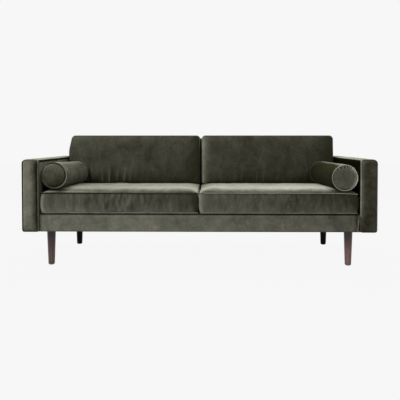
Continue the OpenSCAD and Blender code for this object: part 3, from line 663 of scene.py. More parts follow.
def extrusion(profile, stations):
    """Closed profile in Y and Z, repeated at places along X: grid points and faces, with flat ends."""
    count = len(profile)
    points = np.zeros((len(stations), count, 3))
    points[..., 0] = stations[:, None]
    points[..., 1:] = profile[None]
    numbers = np.arange(points[..., 0].size).reshape(len(stations), count)
    ends = [numbers[0].tolist(), numbers[-1][::-1].tolist()]
    return points, quads(np.hstack([numbers, numbers[:, :1]])).tolist() + ends


def tube(path, up, radius, sides=12):
    """Circle carried along a closed path, across it at each point, and set out from a fixed direction.

    Gives the points, the faces and how far each of the tube's sides faces away from what the path goes round.
    """
    along = np.roll(path, -1, 0) - np.roll(path, 1, 0)
    beside = np.cross(along, up)
    beside /= np.linalg.norm(beside, axis=1, keepdims=True)
    angles = np.linspace(0, TURN, sides, endpoint=False)
    cosines, sines = np.cos(angles), np.sin(angles)
    out = cosines[None, :, None] * beside[:, None] + sines[None, :, None] * np.array(up, float)
    numbers = np.arange(len(path) * sides).reshape(len(path), sides)
    numbers = np.vstack([numbers, numbers[:1]])
    faces = quads(np.hstack([numbers, numbers[:, :1]])).tolist()
    return path[:, None] + radius * out, faces, np.clip(cosines, 0, 1)


@dataclass
class Boxed:
    """A boxed shape in its own frame: a low and a high panel, and a strip between their seams along Z.

    X is 0 at its middle and Y is 0 at its low edge. A panel is a square grid with rounded corners: in each
    corner square both coordinates are multiplied by the root of one less half the square of the other.
    The radii run counter-clockwise from the low left corner. The swells say how far the sides, the low edge
    and the high edge stand out beyond the seams. The seams lie a groove's depth further in, and in the middle
    of the sides they are drawn in by draw as well. The strip swells out of a seam over its run, and the share
    belly of its swell follows half a sine wave. The panels lie inset from both ends.
    """

    width: float
    depth: float
    thick: float
    radii: tuple
    swell: tuple
    groove: float
    cell: float
    draw: float = 0.0
    run: float = 0.012
    belly: float = 0.4
    inset: float = 0.0

    def __post_init__(self):
        self.half = self.width / 2
        self.n = tuple(2 * max(2, round(s / self.cell / 2)) for s in (self.width, self.depth, self.thick))

    def coarse(self):
        """The same shape on half as many cells."""
        other = copy(self)
        other.n = tuple(k // 2 for k in self.n)
        return other

    def outline(self, u, v, inside, way, radii=None):
        """Points of the rounded rectangle, drawn in by inside, with the swell drawn in by its share way."""
        side, low, high = (s * way + inside for s in self.swell)
        half = self.half - side
        middle = (low + self.depth - high) / 2
        reach = self.depth - high - middle
        first, second, third, fourth = radii if radii is not None else self.radii
        radius = np.where(v < 0, np.where(u < 0, first, second), np.where(u < 0, fourth, third))
        radius = np.maximum(radius - inside, self.groove)
        x, y = u * half, v * reach
        a = climb(np.abs(x), half - radius, radius)
        b = climb(np.abs(y), reach - radius, radius)
        x = np.sign(x) * (np.minimum(np.abs(x), half - radius) + radius * a * np.sqrt(1 - b * b / 2))
        y = np.sign(y) * (np.minimum(np.abs(y), reach - radius) + radius * b * np.sqrt(1 - a * a / 2))
        x = x * (1 - way * self.draw / half * np.cos(math.pi / 2 * v))
        return x, y + middle

    def rim(self):
        """Numbers of a panel's edge points, counter-clockwise from its low left corner."""
        nx, ny, _ = self.n
        numbers = np.arange((nx + 1) * (ny + 1)).reshape(nx + 1, ny + 1)
        return np.concatenate([numbers[:-1, 0], numbers[-1, :-1], numbers[:0:-1, -1], numbers[0, :0:-1]])

    def grid(self):
        """A panel's two parameters, from -1 to 1."""
        return np.meshgrid(*(np.linspace(-1, 1, k + 1) for k in self.n[:2]), indexing="ij")

    def lip(self, u, v, soft=0.004):
        """Rise of a panel out of its seams: one less an exponential of the distance from each edge."""
        gaps = [(1 - np.abs(u)) * self.half, (1 + v) / 2 * self.depth, (1 - v) / 2 * self.depth]
        return np.prod([1 - fade(gap, soft) for gap in gaps], axis=0)

    def points(self, high=None, low=None, strip=None, radii=None):
        """All points. high and low give a panel's rise at (u, v), strip its swell at (way, height, z)."""
        u, v = self.grid()
        x, y = self.outline(u, v, self.groove, 1)
        rise = self.lip(u, v)
        panels = []
        for level, inwards, bulge in ((self.inset, 1, low), (self.thick - self.inset, -1, high)):
            z = level + inwards * (self.groove * (1 - rise) - rise * (bulge(u, v) if bulge else 0))
            panels.append(np.stack([x, y, z], -1).reshape(-1, 3))
        rim = self.rim()
        u, v = u.ravel()[rim][None], v.ravel()[rim][None]
        start, end = self.inset + self.groove, self.thick - self.inset - self.groove
        t = np.linspace(0, 1, self.n[2] + 1)[1:-1, None]
        z = start + t * (end - start) + 0 * u
        out = (1 - fade(z - start, self.run)) * (1 - fade(end - z, self.run))
        out = out * (1 - self.belly + self.belly * np.sin(math.pi * t))
        x, y = self.outline(u, v, self.groove * (1 - out), 1 - out, radii(z) if radii else None)
        if strip:
            dx, dy = (np.roll(a, -1, 1) - np.roll(a, 1, 1) for a in (x, y))
            size = np.hypot(dx, dy)
            way = np.cumsum(np.hypot(x - np.roll(x, 1, 1), y - np.roll(y, 1, 1)), axis=1)
            push = strip(way[:1] + 0 * x, t + 0 * x, z)
            x, y = x + push * dy / size, y - push * dx / size
        return np.vstack([panels[0], np.stack([x, y, z], -1).reshape(-1, 3), panels[1]])

    def numbers(self):
        """Point numbers of the low panel, of the strip with both its seams, and of the high panel."""
        nx, ny, nz = self.n
        low = np.arange((nx + 1) * (ny + 1)).reshape(nx + 1, ny + 1)
        rim = self.rim()
        strip = low.size + np.arange((nz - 1) * len(rim)).reshape(nz - 1, len(rim))
        top = low.size + strip.size
        return low, np.vstack([rim, strip, top + rim]), top + low

    def faces(self):
        """Faces of both panels and of the strip."""
        low, rows, high = self.numbers()
        ring = np.hstack([rows, rows[:, :1]]).T
        return np.vstack([quads(low)[:, ::-1], quads(ring), quads(high)]).tolist()

    def seam_shade_mask(self, points, width):
        """Mask of the painted shade beside the seams: one on the seams, falling off beside them as a bell
        curve of the distance.
        """
        radius = max(self.radii)
        x = np.abs(points[..., 0]) - self.half + radius
        y = np.abs(points[..., 1] - self.depth / 2) - self.depth / 2 + radius
        edge = radius - np.hypot(np.maximum(x, 0), np.maximum(y, 0)) - np.minimum(np.maximum(x, y), 0)
        face = np.minimum(np.abs(points[..., 2]), np.abs(points[..., 2] - self.thick))
        return near(np.hypot(edge, face), 0, width)

    def seam(self, inside, z):
        """Closed line in from the seams' outline by inside, at the height z."""
        u, v = (a.ravel()[self.rim()] for a in self.grid())
        x, y = self.outline(u, v, inside, 1)
        return np.stack([x, y, 0 * x + z], -1)


# Cloth


def half_way(a):
    """Rows with a row put between each two, halfway."""
    out = np.empty((2 * len(a) - 1, *a.shape[1:]))
    out[::2] = a
    out[1::2] = (a[1:] + a[:-1]) / 2
    return out


def smoothed(a, closed=False):
    """Each row a quarter of its two neighbours and a half of itself. The ends of open rows stay."""
    if closed:
        return (np.roll(a, 1, 0) + 2 * a + np.roll(a, -1, 0)) / 4
    out = a.copy()
    out[1:-1] = (a[:-2] + 2 * a[1:-1] + a[2:]) / 4
    return out


def across(change, a):
    """A change of rows, made on the columns."""
    return change(a.swapaxes(0, 1)).swapaxes(0, 1)


def wrinkles(moved, closed=False, rounds=14):
    """What is left of a movement once its slow swell is taken out."""
    slow = moved
    for _ in range(rounds):
        slow = across(smoothed, smoothed(slow, closed))
    return moved - slow


def finer(shape, moved):
    """Wrinkles of a grid of half as many cells, spread over the full grid."""
    low, rows, high = shape.coarse().numbers()
    full_low, full_rows, full_high = shape.numbers()
    out = np.zeros((full_high.max() + 1, 3))
    for numbers, full in ((low, full_low), (high, full_high)):
        panel = across(half_way, half_way(wrinkles(moved[numbers])))
        out[full] = across(smoothed, smoothed(panel))
    strip = half_way(wrinkles(moved[rows].swapaxes(0, 1), closed=True).swapaxes(0, 1))
    strip = np.concatenate([strip, strip[:, :1]], 1).swapaxes(0, 1)
    strip = smoothed(half_way(strip)[:-1], closed=True).swapaxes(0, 1)
    out[full_rows] = smoothed(strip)
    return out


def settled(context, shape, **panels):
    """How cloth settles over a shape under pressure with its seams held.

    It is cut a little larger than the shape and settles on half as many cells. Only its wrinkles are kept.
    """
    c = context.scene.sofa_cushions
    coarse = shape.coarse()
    start = coarse.points(**panels)
    mesh = meshed("settling", start, coarse.faces())
    cloth = linked("settling", mesh)
    rows = coarse.numbers()[1]
    cloth.vertex_groups.new(name="seams").add(np.concatenate([rows[0], rows[-1]]).tolist(), 1.0, "REPLACE")
    modifier = cloth.modifiers.new("settling", "CLOTH")
    settings = modifier.settings
    for key, value in CLOTH.items():
        setattr(settings, key, value)
    settings.uniform_pressure_force = c.pressure
    settings.shrink_min = -c.slack
    settings.effector_weights.gravity = 0
    modifier.point_cache.frame_end = c.frames
    for step in range(1, c.frames + 1):
        context.scene.frame_set(step)
    now = np.empty(start.size)
    cloth.evaluated_get(context.evaluated_depsgraph_get()).data.vertices.foreach_get("co", now)
    bpy.data.objects.remove(cloth)
    bpy.data.meshes.remove(mesh)
    context.scene.frame_set(1)
    moved = now.reshape(-1, 3) - start
    size = np.linalg.norm(moved, axis=1, keepdims=True)
    return finer(shape, moved * np.minimum(1, c.cap / np.maximum(size, 1e-9)))


# Arms


def add_arm(context, name, side):
    """One arm, a boxed shape along Y whose high panel is its front, with piping round that panel."""
    body, c = context.scene.sofa_body, context.scene.sofa_cushions
    low, tops = body.arm_low_radius, (body.arm_in_radius, body.arm_out_radius)
    if side > 0:
        tops = tops[::-1]
    thick = BACK_Y - FRONT_Y
    arm = Boxed(
        HALF_W - INNER_X, FRAME_TOP - BASE_Z, thick, (low, low, *tops), (0, 0, 0), c.groove, body.cell,
        run=0.003, belly=0,
    )
    rng = draws("arm", side)

    def radii(z):
        """Radii at the distance from the back: the lower corners are sharp behind the panel."""
        sharp = 0.003
        lower = sharp + (low - sharp) * fade(thick - z, 0.020)
        return lower, lower, tops[0] + 0 * z, tops[1] + 0 * z

    def strip(way, t, z):
        """Slow waves of the padding along an arm."""
        return ARM_WAVE * mottle(rng, way, z, 0.09, 0.40) * np.minimum(1, np.minimum(z, thick - z) / 0.03)

    def panel(u, v):
        """Soft middle of the front panel: a parabola across it, and flat up to its ends."""
        return ARM_PANEL * (1 - u * u) * (1 - v**6)

    def place(p):
        """Turns the shape's Z to the front, and sets it on its side of the sofa."""
        centre = side * (HALF_W + INNER_X) / 2
        return np.stack([centre + p[..., 0], BACK_Y - p[..., 2], BASE_Z + p[..., 1]], -1)

    points = arm.points(high=panel, strip=strip, radii=radii)
    crease = arm_crease(body, arm, side, points)
    inward = np.array([side, -1, 0]) / math.sqrt(2)
    points = points + body.arm_crease * crease[:, None] * inward
    nap = arm_painted_light(arm, side, *np.moveaxis(points, -1, 0))
    # Painted shade in the crease and beside the seams.
    nap -= CREASE_SHADE * crease + ARM_SEAM_SHADE * arm.seam_shade_mask(points, c.seam_shade)
    nodes = [f"arm_cover_{name}"] + (["arm_padding"] if side < 0 else [])
    piece = add_piece(f"arm_{name}", place(points), arm.faces(), "velvet_arm", "frame", "velvet", nodes, nap)
    line = arm.seam(c.piping_in, thick - c.piping_in)
    points, faces, outward = tube(place(line), (0, -1, 0), c.piping / 2)
    nap = arm_cord_painted_light(arm, side, line[:, :1], line[:, 1:2], outward)
    nodes = [f"arm_piping_{name}"]
    add_piece(f"arm_{name}_piping", points, faces, "velvet_cord", "frame", "velvet_piping", nodes, nap)


def arm_crease(body, arm, side, points):
    """One on the seam along an arm's inner top edge, falling off beside it as a bell curve."""
    turn = math.radians(20)
    beside = -side * points[:, 0] - arm.half + body.arm_in_radius * (1 - math.cos(turn))
    above = points[:, 1] - arm.depth + body.arm_in_radius * (1 - math.sin(turn))
    return near(np.hypot(beside, above), 0, 0.005) * climb(arm.thick - points[:, 2], 0.012, 0.010)


def arm_painted_light(arm, side, x, y, z):
    """Pile and painted light of an arm: painted light along the top and half of it outside, painted shade
    inside the right arm only, and painted light at the front's left.
    """
    side_x, below = x / arm.half, arm.depth - y
    outside, behind = 0.35, 0.20
    inside, top = (0.50, 1.04) if side < 0 else (-1.10, 1.22)
    around = between(outside, inside, np.clip(-side * side_x, 0, 1))
    around = between(around, top, climb(-below, -0.013, 0.006))
    if side < 0:
        fall = climb(side_x - 0.25 * below / arm.depth, -0.15, 0.85)
        front = 0.84 * (1 - fall) + 1.8 * fade(side_x + 1, 0.12) - 0.1 * fall
        # Near its top the front eases to a middle painted light, and a line of painted shade runs along its
        # left edge.
        front = between(front, 0.45, fade(below, 0.018)) - 2.1 * climb(-side_x, 0.93, 0.04)
    else:
        # Painted light on the right arm's front: along its left edge, its right side, its top and its foot.
        lit = 1.5 * np.maximum(0.3, climb(y, 0.03, 0.07))
        front = 0.15 + lit * fade(side_x + 0.97, 0.17) + 0.20 * np.clip(side_x, 0, 1)
        front += 0.35 * fade(below, 0.014) + 0.30 * fade(y, 0.010)
        front += 0.9 * fade(side_x + 1, 0.35) * fade(below, 0.020)
    around = between(around, behind, near(z, 0, 0.012))
    return between(around, front, near(z, arm.thick, 0.010))


def arm_cord_painted_light(arm, side, x, y, outward):
    """The piping: painted shade on the left arm's left and on its outer side, painted light on the right
    arm's left, and painted light along both tops.
    """
    left, right = (climb(way * x / arm.half, 0.75, 0.125) for way in (-1, 1))
    upper = climb(y / arm.depth, 0.95, 0.05)
    if side < 0:
        return 0.25 - 0.9 * left + 0.3 * right + 0.8 * upper - 0.8 * outward * (1 - right) * (1 - upper)
    above = np.maximum(0.25, climb(y, 0.085, 0.02))
    return 0.05 + (1.5 + 0.3 * outward) * left * above + 0.4 * right + 0.6 * upper


# Back, rail, deck and dust cover


def back_face(body, z):
    """Y of the back's front face at the height z, from its top and its lean."""
    return BACK_Y - body.back_top - (FRAME_TOP - z) * math.tan(body.lean)


def add_back(body):
    """The back: a closed profile with a leaning face and two rounded top edges, carried along X."""
    overlap, hem, gap = 0.002, 0.004, 0.001
    top_in, top_out = FRAME_TOP - body.back_in_radius, FRAME_TOP - body.back_out_radius
    foot = back_face(body, DECK_Z)
    inner = back_face(body, top_in) + body.back_in_radius / math.cos(body.lean)
    line = np.vstack([
        [[foot, BASE_Z + gap], [foot, DECK_Z]],
        arc((inner, top_in), body.back_in_radius, 180 - math.degrees(body.lean), 90),
        arc((BACK_Y - body.back_out_radius, top_out), body.back_out_radius, 90, 0),
        [[BACK_Y, BASE_Z + hem], [BACK_Y - hem, BASE_Z]],
    ])
    profile, way = spaced(line, body.cell)
    reach = INNER_X + overlap
    points, faces = extrusion(profile, np.linspace(-reach, reach, round(2 * INNER_X / body.cell) + 1))
    rng = draws("back")
    soft = mottle(rng, points[..., 0], way[None] + 0 * points[..., 0], 0.12, 0.6)
    above = climb(points[..., 2], DECK_Z, 0.05)
    middle = BACK_Y - 0.06
    points[..., 1] += BACK_WAVE * soft * above * np.sign(points[..., 1] - middle)
    # Painted light along the back's top edge.
    nap = 0.06 + 0.74 * climb(points[..., 2], FRAME_TOP - 0.020, 0.015)
    nodes = ["back_cover", "back_padding"]
    piece = add_piece("back", points, faces, "velvet_frame", "frame", "velvet", nodes, nap)


def add_webbing(body, straps=3, height=0.050, thick=0.0015, clearance=0.0001, stations=120):
    """Straps across the back frame: flat profiles that lean with it, carried along X."""
    offset = STRAPS_LOW.y - back_face(body, STRAPS_LOW.z) + clearance
    parts = []
    for foot in np.linspace(STRAPS_LOW.z, STRAPS_HIGH.z - height, straps):
        low, high = ([back_face(body, z) + offset, z] for z in (foot, foot + height))
        line = np.array([low, high, [high[0] + thick, high[1]], [low[0] + thick, low[1]]])
        parts.append(extrusion(line, np.linspace(STRAPS_LOW.x, STRAPS_HIGH.x, stations)))
    add_piece("back_straps", *joined(parts), "webbing", "frame", "webbing", ["back_webbing"])


def add_rail(body):
    """The front rail's cover: a closed profile with a soft top edge, carried along X, creased at its ends."""
    front, rear, top, radius = RAIL_LOW.y, RAIL_HIGH.y, RAIL_HIGH.z, body.rail_radius
    cell, hem, overlap, end, end_count = 0.007, 0.003, 0.002, 0.060, 25
    half = INNER_X + overlap
    line = np.vstack([
        [[front + hem, BASE_Z], [front, BASE_Z + hem]],
        arc((front + radius, top - radius), radius, 180, 90),
        [[rear, top], [rear, BASE_Z]],
    ])
    ends = np.linspace(0, end, end_count)
    middle = np.linspace(-half + end, half - end, round(2 * (half - end) / cell))[1:-1]
    points, faces = extrusion(spaced(line, cell)[0], np.concatenate([ends - half, middle, half - end + ends]))
    x, y, z = points[..., 0], points[..., 1], points[..., 2]
    rng = draws("rail")
    facing = climb(-y, -front - 0.02, 0.02) * climb(z, BASE_Z, 0.01)
    gap = INNER_X - np.abs(x)
    height = (z - BASE_Z) / (top - BASE_Z)
    creases = fade(gap, 0.035) * np.sin(TURN * (gap + 0.030 * (1 - height)) / 0.034 + 0.6)
    sag = 0.6 * mottle(rng, x, z, 0.08, 0.35) + 0.4 * mottle(rng, x, 0.3 * z, 0.03, 0.09)
    points[..., 1] -= facing * (body.crease * creases + RAIL_WAVE * sag)
    nap = rail_painted_light(x, z, gap, height, top)
    nodes = ["rail_cover", "rail_padding"]
    piece = add_piece("front_rail_cover", points, faces, "velvet_frame", "frame", "velvet", nodes, nap)


def rail_painted_light(x, z, gap, height, top):
    """Pile and painted light of the rail: painted shade to the right and at the top under the seat cushions,
    painted light lower down, painted light on a fold at each end, painted shade in two slanting creases, and
    finger marks.
    """
    fold = gap - 0.001 - 0.009 * (1 - height) ** 2
    right_end = near(fold, 0, 0.003) - 0.35 * near(fold, 0.014, 0.009)
    nap = 0.70 - 0.19 * x + 0.24 * (0.5 - height)
    nap += np.where(x > 0, right_end, 0.25 * near(gap, 0, 0.009))
    # A line of painted light below the top edge, and painted shade at the top, under the seat cushions.
    nap += 0.12 * near(z, top - 0.016, 0.005) - 0.9 * climb(z, top - 0.010, 0.006)
    slant = x + 0.3 * z
    nap -= 0.14 * near(slant, 0.90, 0.03) + 0.10 * near(slant, -0.83, 0.012)
    for mark_x, mark_z in ((-0.26, 0.235), (0.29, 0.262), (0.62, 0.250)):
        nap += 0.35 * near(x + 0.5 * z, mark_x + 0.5 * mark_z, 0.008) * near(z, mark_z, 0.012)
    return nap


def add_deck(body, clearance=0.0005, cell=0.014, stations=136, border=0.04):
    """The deck: a flat profile that leans at its rear, carried along X, with a shallow hollow in its top."""
    front, low, high = DECK_LOW.y, PAD_LOW.z, DECK_Z
    rear_low, rear_high = (back_face(body, z) - clearance for z in (low, high))
    profile, _ = spaced(np.array([[front, high], [rear_high, high], [rear_low, low], [front, low]]), cell)
    points, faces = extrusion(profile[::-1], np.linspace(-INNER_X, INNER_X, stations))
    faces = [face[::-1] for face in faces]
    x, y, z = points[..., 0], points[..., 1], points[..., 2]
    rng = draws("deck")
    inside = climb(y, front, border) * climb(rear_low - y, 0, border) * climb(INNER_X - np.abs(x), 0, border)
    inside *= z > (low + high) / 2
    points[..., 2] -= inside * (DECK_HOLLOW + DECK_WAVE * mottle(rng, x, y, 0.06, 0.2))
    piece = add_piece("deck", points, faces, "lining", "frame", "lining", ["deck_cover", "deck_pad"])


def add_dust_cover(rows=54, stations=140, border=0.12):
    """A thin sheet stapled under the frame: a flat profile along X that hangs a little between the rails."""
    back = np.linspace(DUST_LOW.y, DUST_HIGH.y, rows)
    upper = np.stack([back, 0 * back + DUST_HIGH.z], -1)
    profile = np.vstack([upper, upper[::-1] - (0, DUST_HIGH.z - DUST_LOW.z)])
    points, faces = extrusion(profile, np.linspace(DUST_LOW.x, DUST_HIGH.x, stations))
    x, y = points[..., 0], points[..., 1]
    rng = draws("sheet")
    edge = np.minimum(DUST_HIGH.x - np.abs(x), np.minimum(y - DUST_LOW.y, DUST_HIGH.y - y))
    points[..., 2] -= climb(edge, 0, border) * (SHEET_SAG + SHEET_WAVE * mottle(rng, x, y, 0.08, 0.4))
    piece = add_piece("under_cloth", points, faces, "lining", "frame", "lining", ["dust_cover"])


# Cushions and bolsters


def add_cushion(context, kind, name, shape, points, place, looks, naps_and_painted_light, filling="filling"):
    """The looks are those of the cover and the piping. The pile and painted light are the cover's, a function
    of a place on the piping, and the painted shade on the piping's outer half.
    """
    c = context.scene.sofa_cushions
    nap, cord, outer_painted_shade = naps_and_painted_light
    piece_name = f"{kind}_{name}"
    nodes = [f"{kind}_{part}_{name}" for part in ("cover", filling)]
    # Painted shade beside the seams.
    nap = nap - CUSHION_SEAM_SHADE * shape.seam_shade_mask(points, c.seam_shade)
    piece = add_piece(piece_name, place(points), shape.faces(), looks[0], piece_name, "velvet", nodes, nap)
    up = place(np.array([0.0, 0, 1])) - place(np.zeros(3))
    up /= np.linalg.norm(up)
    end = shape.inset + c.piping_in
    lines = [shape.seam(c.piping_in, z) for z in (end, shape.thick - end)]
    tubes = [tube(place(line), up, c.piping / 2) for line in lines]
    points, faces = joined([part[:2] for part in tubes])
    nap = np.stack([cord(*line.T) for line in lines])[..., None] - outer_painted_shade * tubes[0][2]
    nodes = [f"{kind}_piping_{name}"]
    cord_name = f"{piece_name}_piping"
    add_piece(cord_name, points, faces, looks[1], piece_name, "velvet_piping", nodes, nap.ravel())


def pressed(points, shape, touch):
    """Sides moved out a little and cut off at the neighbour, as two full cushions flatten each other."""
    x = points[:, 0] * (1 + 3 * touch / shape.half * np.abs(points[:, 0] / shape.half) ** 60)
    return np.column_stack([np.clip(x, -shape.half - touch, shape.half + touch), points[:, 1:]])


def add_pair(context, add, shape, **panels):
    """Adds the left and the right one of a kind, from one shape and one settling of its cloth."""
    moved = settled(context, shape, **panels)
    for name, side in SIDES.items():
        add(context, name, side, shape, panels["high"], moved)


def bolster_line(c, name, side):
    """The bolster's middle line: its front disc's centre, its turn and how much lower its rear end lies."""
    low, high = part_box(f"bolster_cover_{name}")
    front = side * (-BOLSTER_LOW.x - BOLSTER_D / 2), low.y, (low.z + high.z) / 2
    turn, dip = (0.0, c.dip) if side < 0 else (c.turn, 0.0)
    return front, turn, dip


# How each seat's pile and painted light run: the gathers in the middle of its boxing and their streaks, the
# painted shade across the boxing and the painted light at its foot, the painted highlight at its left end and
# its reach, the painted shade at its right end, the top's painted light and its rise across, a painted
# highlight along its front lip, the painted shade at the upper right of the boxing, and the upper piping's
# painted light
SEAT_LOOKS = {
    "left": SimpleNamespace(
        gathers=1.3, streaks=0.12, fall=0.06, foot=0.54, start=3.2, start_reach=0.009, end=0.9,
        top=0.61, top_rise=0.13, lip=1.9, corner=0.0, cord=0.1,
    ),
    "right": SimpleNamespace(
        gathers=0.2, streaks=0.03, fall=0.10, foot=0.46, start=1.4, start_reach=0.012, end=0.5,
        top=0.92, top_rise=0.24, lip=0.0, corner=0.16, cord=1.0,
    ),
}


def seat_painted_light(c, look, side, shape, streaks, x, y, z):
    """Pile and painted light of the boxing, with painted shade towards its right, its right end and its upper
    right, and painted light at its foot and left end; and of the top, with painted light away from the front,
    a painted shadow of the bolster and a painted highlight along the front edge.
    """
    side_x = x / shape.half
    boxing = 0.20 - look.fall * side_x + streaks * (0.05 + look.streaks * near(side_x, 0.0, 0.35))
    boxing += (look.foot - 0.12 * side_x) * fade(np.clip(z - 0.008, 0, 1), 0.036)
    boxing -= look.corner * np.clip(side_x, 0, 1) * z / shape.thick
    boxing += look.start * fade(x + shape.half, look.start_reach) - look.end * fade(shape.half - x, 0.024)
    boxing = np.where(y < 0.022, boxing, -0.3)
    top = 1.20 * climb(y, 0.016, 0.060) ** 1.3 * (look.top + look.top_rise * side_x)
    # Painted shadow of the bolster on the top.
    bolster_x, bolster_end = side * (shape.half - 0.115), 0.56
    top -= 0.5 * near(x, bolster_x, 0.035) * climb(bolster_end - y, 0, 0.02)
    # A painted highlight along the front edge, on the left one only.
    top += look.lip * near(y, 0.020, 0.007) * fade(x + shape.half, 0.16)
    return between(boxing, top, z > shape.thick - c.groove - 0.001)


def seat_place(c, name, side, shape):
    """Gives the function that puts a seat cushion on the deck, with its droop and the bolster's hollow."""
    front, turn, dip = bolster_line(c, name, side)
    corner = np.array([side * SEAT_X, SEAT_LOW.y, SEAT_Z])
    soft = 0.002

    def under(p):
        """Underside of the bolster over a point: the lower half of a circle, rising beyond its two ends."""
        along = p[..., 1] - front[1]
        off = p[..., 0] - front[0] + along * math.tan(turn)
        beyond = np.clip(np.abs(along - BOLSTER_L / 2) - BOLSTER_L / 2, 0, 1)
        round_under = np.sqrt(np.clip((BOLSTER_D / 2 + c.hollow) ** 2 - off**2, 0, 1))
        return front[2] - dip * along / BOLSTER_L - round_under + beyond

    def place(p):
        """Sinks the right one's upper outer corner by exponentials of its gaps.

        Where the bolster lies lower than the top, the top gives way: a soft least of the two heights.
        """
        gap = np.exp(-(shape.half - p[..., 0]) / 0.035 - p[..., 1] / 0.06)
        sunk = c.droop * (side > 0) * np.clip(p[..., 2] / shape.thick, 0, 1.2) * gap
        q = p + corner - sunk[..., None] * (0, 0, 1)
        over = q[..., 2] - under(q)
        given = soft * np.log1p(np.exp(np.clip(over / soft, -30, 30)))
        q[..., 2] -= np.where(p[..., 2] > shape.thick / 2, given, 0)
        return q

    return place


def add_seats(context):
    """The seat cushions' shape and crown, and both cushions."""
    c = context.scene.sofa_cushions
    radii, swell = (c.seat_radius,) * 4, (c.swell, c.swell, 0)
    shape = Boxed(SEAT_W, SEAT_D, c.seat_thick, radii, swell, c.groove, c.cell, c.draw)

    def crown(u, v):
        """Crown eased up from both sides and the front, with a nearly straight slope at the rear."""
        sides = ease((1 - np.abs(u)) * SEAT_W / 2 / c.seat_side)
        front = ease((1 + v) / 2 * SEAT_D / c.seat_front)
        rear = ease((1 - v) / 2 * SEAT_D / c.seat_fall, 1.2)
        return c.seat_crown * sides * front * rear

    add_pair(context, add_seat, shape, high=crown)


def add_seat(context, name, side, shape, crown, moved):
    """One seat cushion, with puckers in its boxing and slow waves in its top."""
    c, look = context.scene.sofa_cushions, SEAT_LOOKS[name]
    rng = draws("seat", side)

    def strip(way, t, z):
        """Upright puckers in the boxing: short waves in bunches, strongest near the seams."""
        bunch = np.clip(0.3 + 0.6 * ripple(rng, way, 0.12, 0.5, 2 * (SEAT_W + SEAT_D)), 0.1, 1.0)
        bunch += look.gathers * near(way, 0.52 * SEAT_W, 0.20 * SEAT_W)
        folds = mottle(rng, way, 0.30 * z, 0.020, 0.050, 24)
        edge = 0.35 + fade(t, 0.35) + 0.7 * fade(1 - t, 0.25)
        return BOXING_PUCKER * bunch * folds * edge * np.sin(math.pi * t) ** 0.5

    def top(u, v):
        """Crown with slow waves of the filling."""
        return crown(u, v) + SEAT_WAVE * mottle(rng, u * SEAT_W / 2, v * SEAT_D / 2, 0.08, 0.30)

    def cord(x, y, z):
        """Painted light along the lower seam, and along the upper one as the cushion's look says."""
        return np.where(z < shape.thick / 2, 0.9, look.cord) + 0 * x

    points = shape.points(high=top, strip=strip) + moved * SEAT_WRINKLES
    points = pressed(points, shape, c.touch)
    x, y, z = np.moveaxis(points, -1, 0)
    streaks = mottle(rng, x, 0.25 * z, 0.014, 0.060, 30)
    nap = seat_painted_light(c, look, side, shape, streaks, x, y, z)
    place = seat_place(c, name, side, shape)
    looks = ("velvet_seat", "velvet_piping")
    add_cushion(context, "seat_cushion", name, shape, points, place, looks, (nap, cord, 0.1), "foam")


# How each back cushion's pile and painted light run: its front and the painted light on the crests of its
# gathers, the painted highlight at its left edge, the painted light on its piping's left, and the middle and
# half width of its gathers along X
BACK_LOOKS = {
    "left": SimpleNamespace(front=0.17, streaks=0.32, start=0.08, cord=0.4, middle=-0.17, spread=0.20),
    "right": SimpleNamespace(front=0.12, streaks=0.15, start=2.15, cord=1.2, middle=-0.12, spread=0.10),
}
GATHER_HEIGHT = 0.085


def back_place(context, side, half):
    """Gives the function that leans a flat back cushion on the back, with its foot on the seat's slope.

    Its lower corners sink by an exponential of the distance from the side. The left one's outer side is drawn
    in with the height, and swells back out as a bell curve.
    """
    c, body = context.scene.sofa_cushions, context.scene.sofa_body
    slope = c.seat_crown / (c.seat_fall - c.step)
    start_y, start_z = SEAT_HIGH.y - c.step, SEAT_Z + c.seat_thick + c.lie
    pull = slope * math.tan(body.lean)
    rear = (back_face(body, start_z) + start_y * pull) / (1 + pull)
    foot = start_z - (rear - start_y) * slope
    sine, cosine = math.sin(body.lean), math.cos(body.lean)
    tilt = cosine * slope

    def place(p):
        high = p[..., 1] / c.back_height
        sag = c.back_sag * fade(half - np.abs(p[..., 0]), 0.045) * np.clip(1 - high, 0, 1) ** 3
        inward = c.slant * high - c.bulge * near(high, 0.66, 0.22)
        inward *= (side < 0) * np.clip(-p[..., 0] / half, 0, 1)
        return np.stack([
            side * SEAT_X + p[..., 0] + inward,
            rear - c.lie + p[..., 1] * sine - p[..., 2] * cosine,
            foot + p[..., 1] * cosine + p[..., 2] * (tilt + (sine - tilt) * high) - sag,
        ], -1)

    return place


def add_backs(context):
    """The back cushions' shape and crown, and both cushions."""
    c = context.scene.sofa_cushions
    radii, swell = (c.back_radius,) * 4, (c.swell, 0, c.swell)
    shape = Boxed(SEAT_W, c.back_height, c.back_thick, radii, swell, c.groove, c.cell, c.draw)

    def crown(u, v):
        """Crown of the front: eased up from all four edges."""
        sides = ease((1 - np.abs(u)) * SEAT_W / 2 / c.back_edge)
        low, high = (ease((1 + way * v) / 2 * c.back_height / c.back_edge) for way in (1, -1))
        return c.back_crown * sides * low * high

    add_pair(context, add_back_cushion, shape, high=crown)


